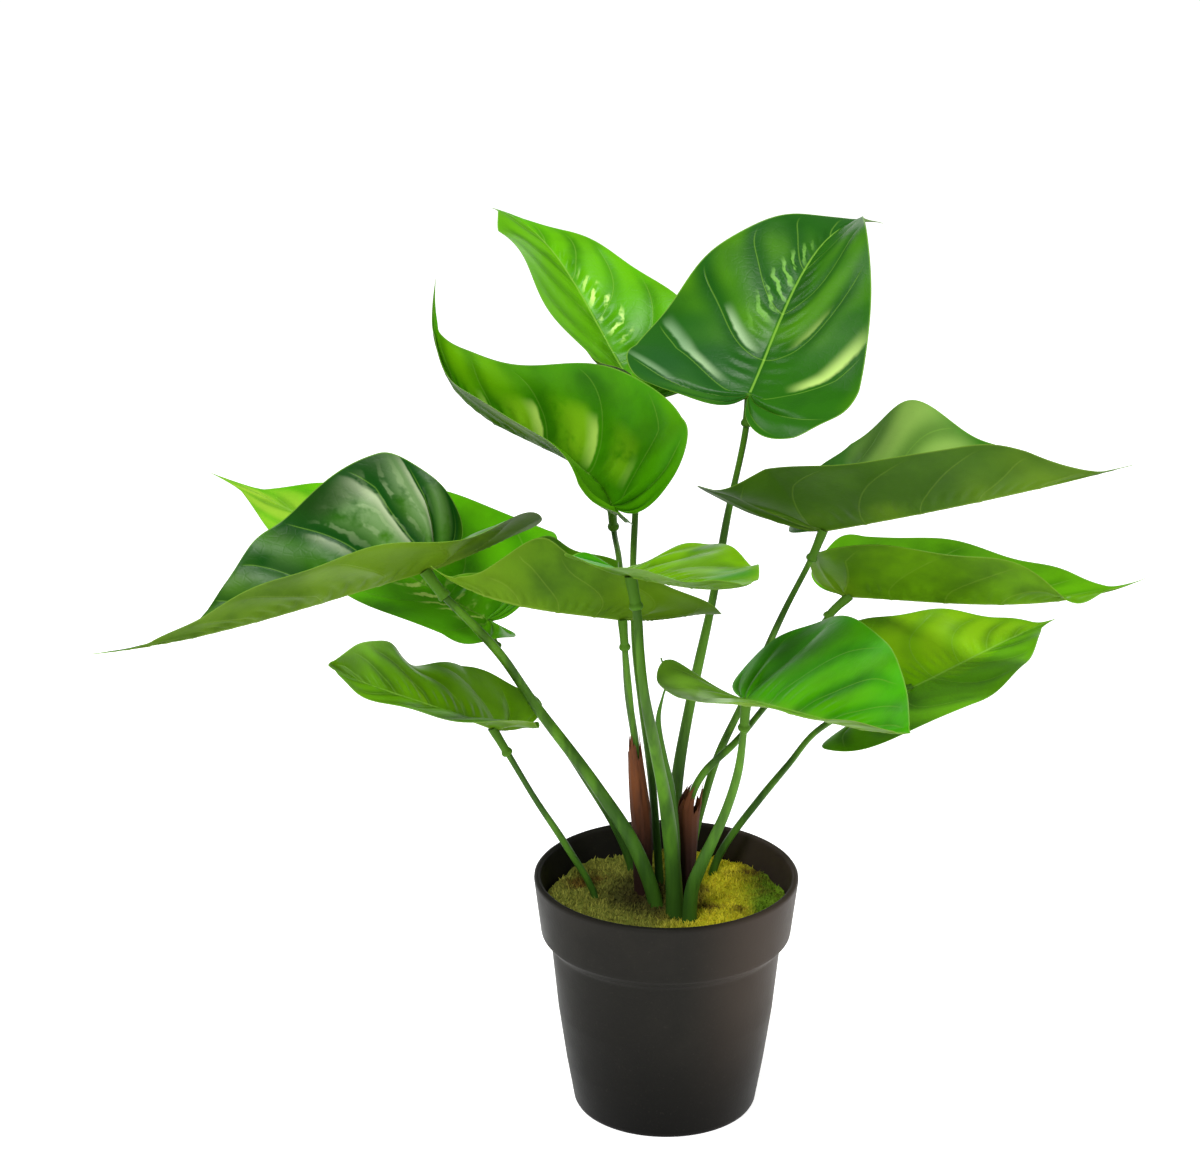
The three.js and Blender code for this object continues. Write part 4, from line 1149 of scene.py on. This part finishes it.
def sprigs(count, rng):
    """Bent three-sided spikes: ring k stands at h*k/2, leans by (k/2)^2 and narrows to a point."""
    radius = (MOSS_RADIUS - 2.2) * np.sqrt(rng.random(count))
    turn = rng.random(count) * 2 * np.pi
    x, y = radius * np.cos(turn), radius * np.sin(turn)
    tall = rng.uniform(*SPRIG_HEIGHT, count)
    lean, way = rng.uniform(*SPRIG_LEAN, count), rng.random(count) * 2 * np.pi
    wide = rng.uniform(*SPRIG_WIDTH, count)
    foot = moss_height(x, y) + moss_bumps(x, y) - SPRIG_DEPTH
    draws = np.stack([x, y, foot, tall, lean, way, wide])
    x, y, foot, tall, lean, way, wide = draws[..., None, None]
    level, corner = np.meshgrid(np.arange(3), np.arange(3), indexing="ij")
    spin = way + corner * 2 * np.pi / 3
    slim = wide * SPRIG_TAPER[level]
    bend = lean * (level / 2) ** 2
    points = np.stack([
        x + slim * np.cos(spin) + bend * np.cos(way),
        y + slim * np.sin(spin) + bend * np.sin(way),
        foot + tall * level / 2,
    ], -1)
    points = points[np.hypot(points[..., 0], points[..., 1]).max((1, 2)) < MOSS_RADIUS - 0.7]
    sides = round_triangles(np.arange(9).reshape(3, 3))[:, ::-1]
    spike = np.concatenate([sides, [(6, 7, 8), (2, 1, 0)]])
    starts = 9 * np.arange(len(points))[:, None, None]
    tint = np.repeat(rng.random(len(points)), 9)
    return points.reshape(-1, 3), (spike + starts).reshape(-1, 3), tint


sprig_points, sprig_faces, sprig_tints = sprigs(SPRIGS, np.random.default_rng(MOSS_SEED))
print("sprigs inside the rim:", len(sprig_tints) // 9)

# %% Moss finish
# Painted light makes it yellow where the light falls and painted shade makes it duller on the left; it is
# green at the right edge and painted shade makes it dark in the crown.
finish = Finish("moss", 0.9, 0.2)
east, north, _ = finish.axes()
patch = finish.noise(42, 4, 0.6)
tint = finish.attribute("tint")
# Painted shade on the left side and painted light on the east side, where the light falls.
shaded_side = finish.mix(tint, linear(112, 118, 44), linear(168, 166, 72))
lit = finish.mix(tint, linear(196, 190, 32), linear(244, 228, 62))
dry = finish.mix(tint, linear(78, 60, 20), linear(130, 104, 36))
lit_and_shaded_moss = finish.mix((east + patch * 0.04 - 0.02).step(-0.012, 0.022), shaded_side, lit)
lit_and_shaded_moss = finish.mix((east + patch * 0.03).step(0.046, 0.058), lit_and_shaded_moss, linear(112, 146, 30))
mossy = finish.mix(patch.step(0.3, 0.5), dry, lit_and_shaded_moss)
# Painted shade: dark in the middle, under the crown.
crown_shade = 1 - ((east + 0.006) ** 2 + (north - 0.004) ** 2).step(0.0001, 0.0009)
finish.set("Base Color", finish.mix(crown_shade * 0.8, mossy, linear(40, 34, 16)))
finish.bump(finish.noise(900, 3), 0.4, 0.6)

# %% Moss
everything = np.concatenate([bed, sprig_points])
triangles = np.concatenate([bed_faces, sprig_faces + len(bed)])
tints = np.concatenate([np.full(len(bed), 0.1), sprig_tints])
moss = new_piece("moss_mat", everything, triangles, attributes={"tint": tints}, sharp=60)
moss.data.materials.append(finish.material)
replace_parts(moss, "moss")
print("moss triangles:", len(moss.data.polygons))

# %% [markdown]
# ## The soil
# Only the solid of the soil stays as it is. It lies under the moss, so a dark crumbly finish is all it
# needs.

# %% Soil
soil_look = Finish("soil_crumb", 0.95, 0.2)
crumb = soil_look.noise(300, 4, 0.7)
soil_look.set("Base Color", soil_look.mix(crumb, linear(34, 24, 16), linear(78, 58, 40)))
soil_look.bump(crumb, 1.0, 0.8)
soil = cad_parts["soil"]
soil.data.materials.clear()
soil.data.materials.append(soil_look.material)
print("triangles of the soil:", len(soil.data.polygons))

# %% [markdown]
# ## Sizes
# The box of the dressed plant is printed beside the box of the solids.

# %% Write the sizes and finish
VISUAL_BOX = [list(corner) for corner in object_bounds()]
for title, box in (("solids", CAD_BOX), ("dressed plant", VISUAL_BOX)):
    print(f"box of the {title} in mm:", np.round(np.array(box) / MM, 1).tolist())
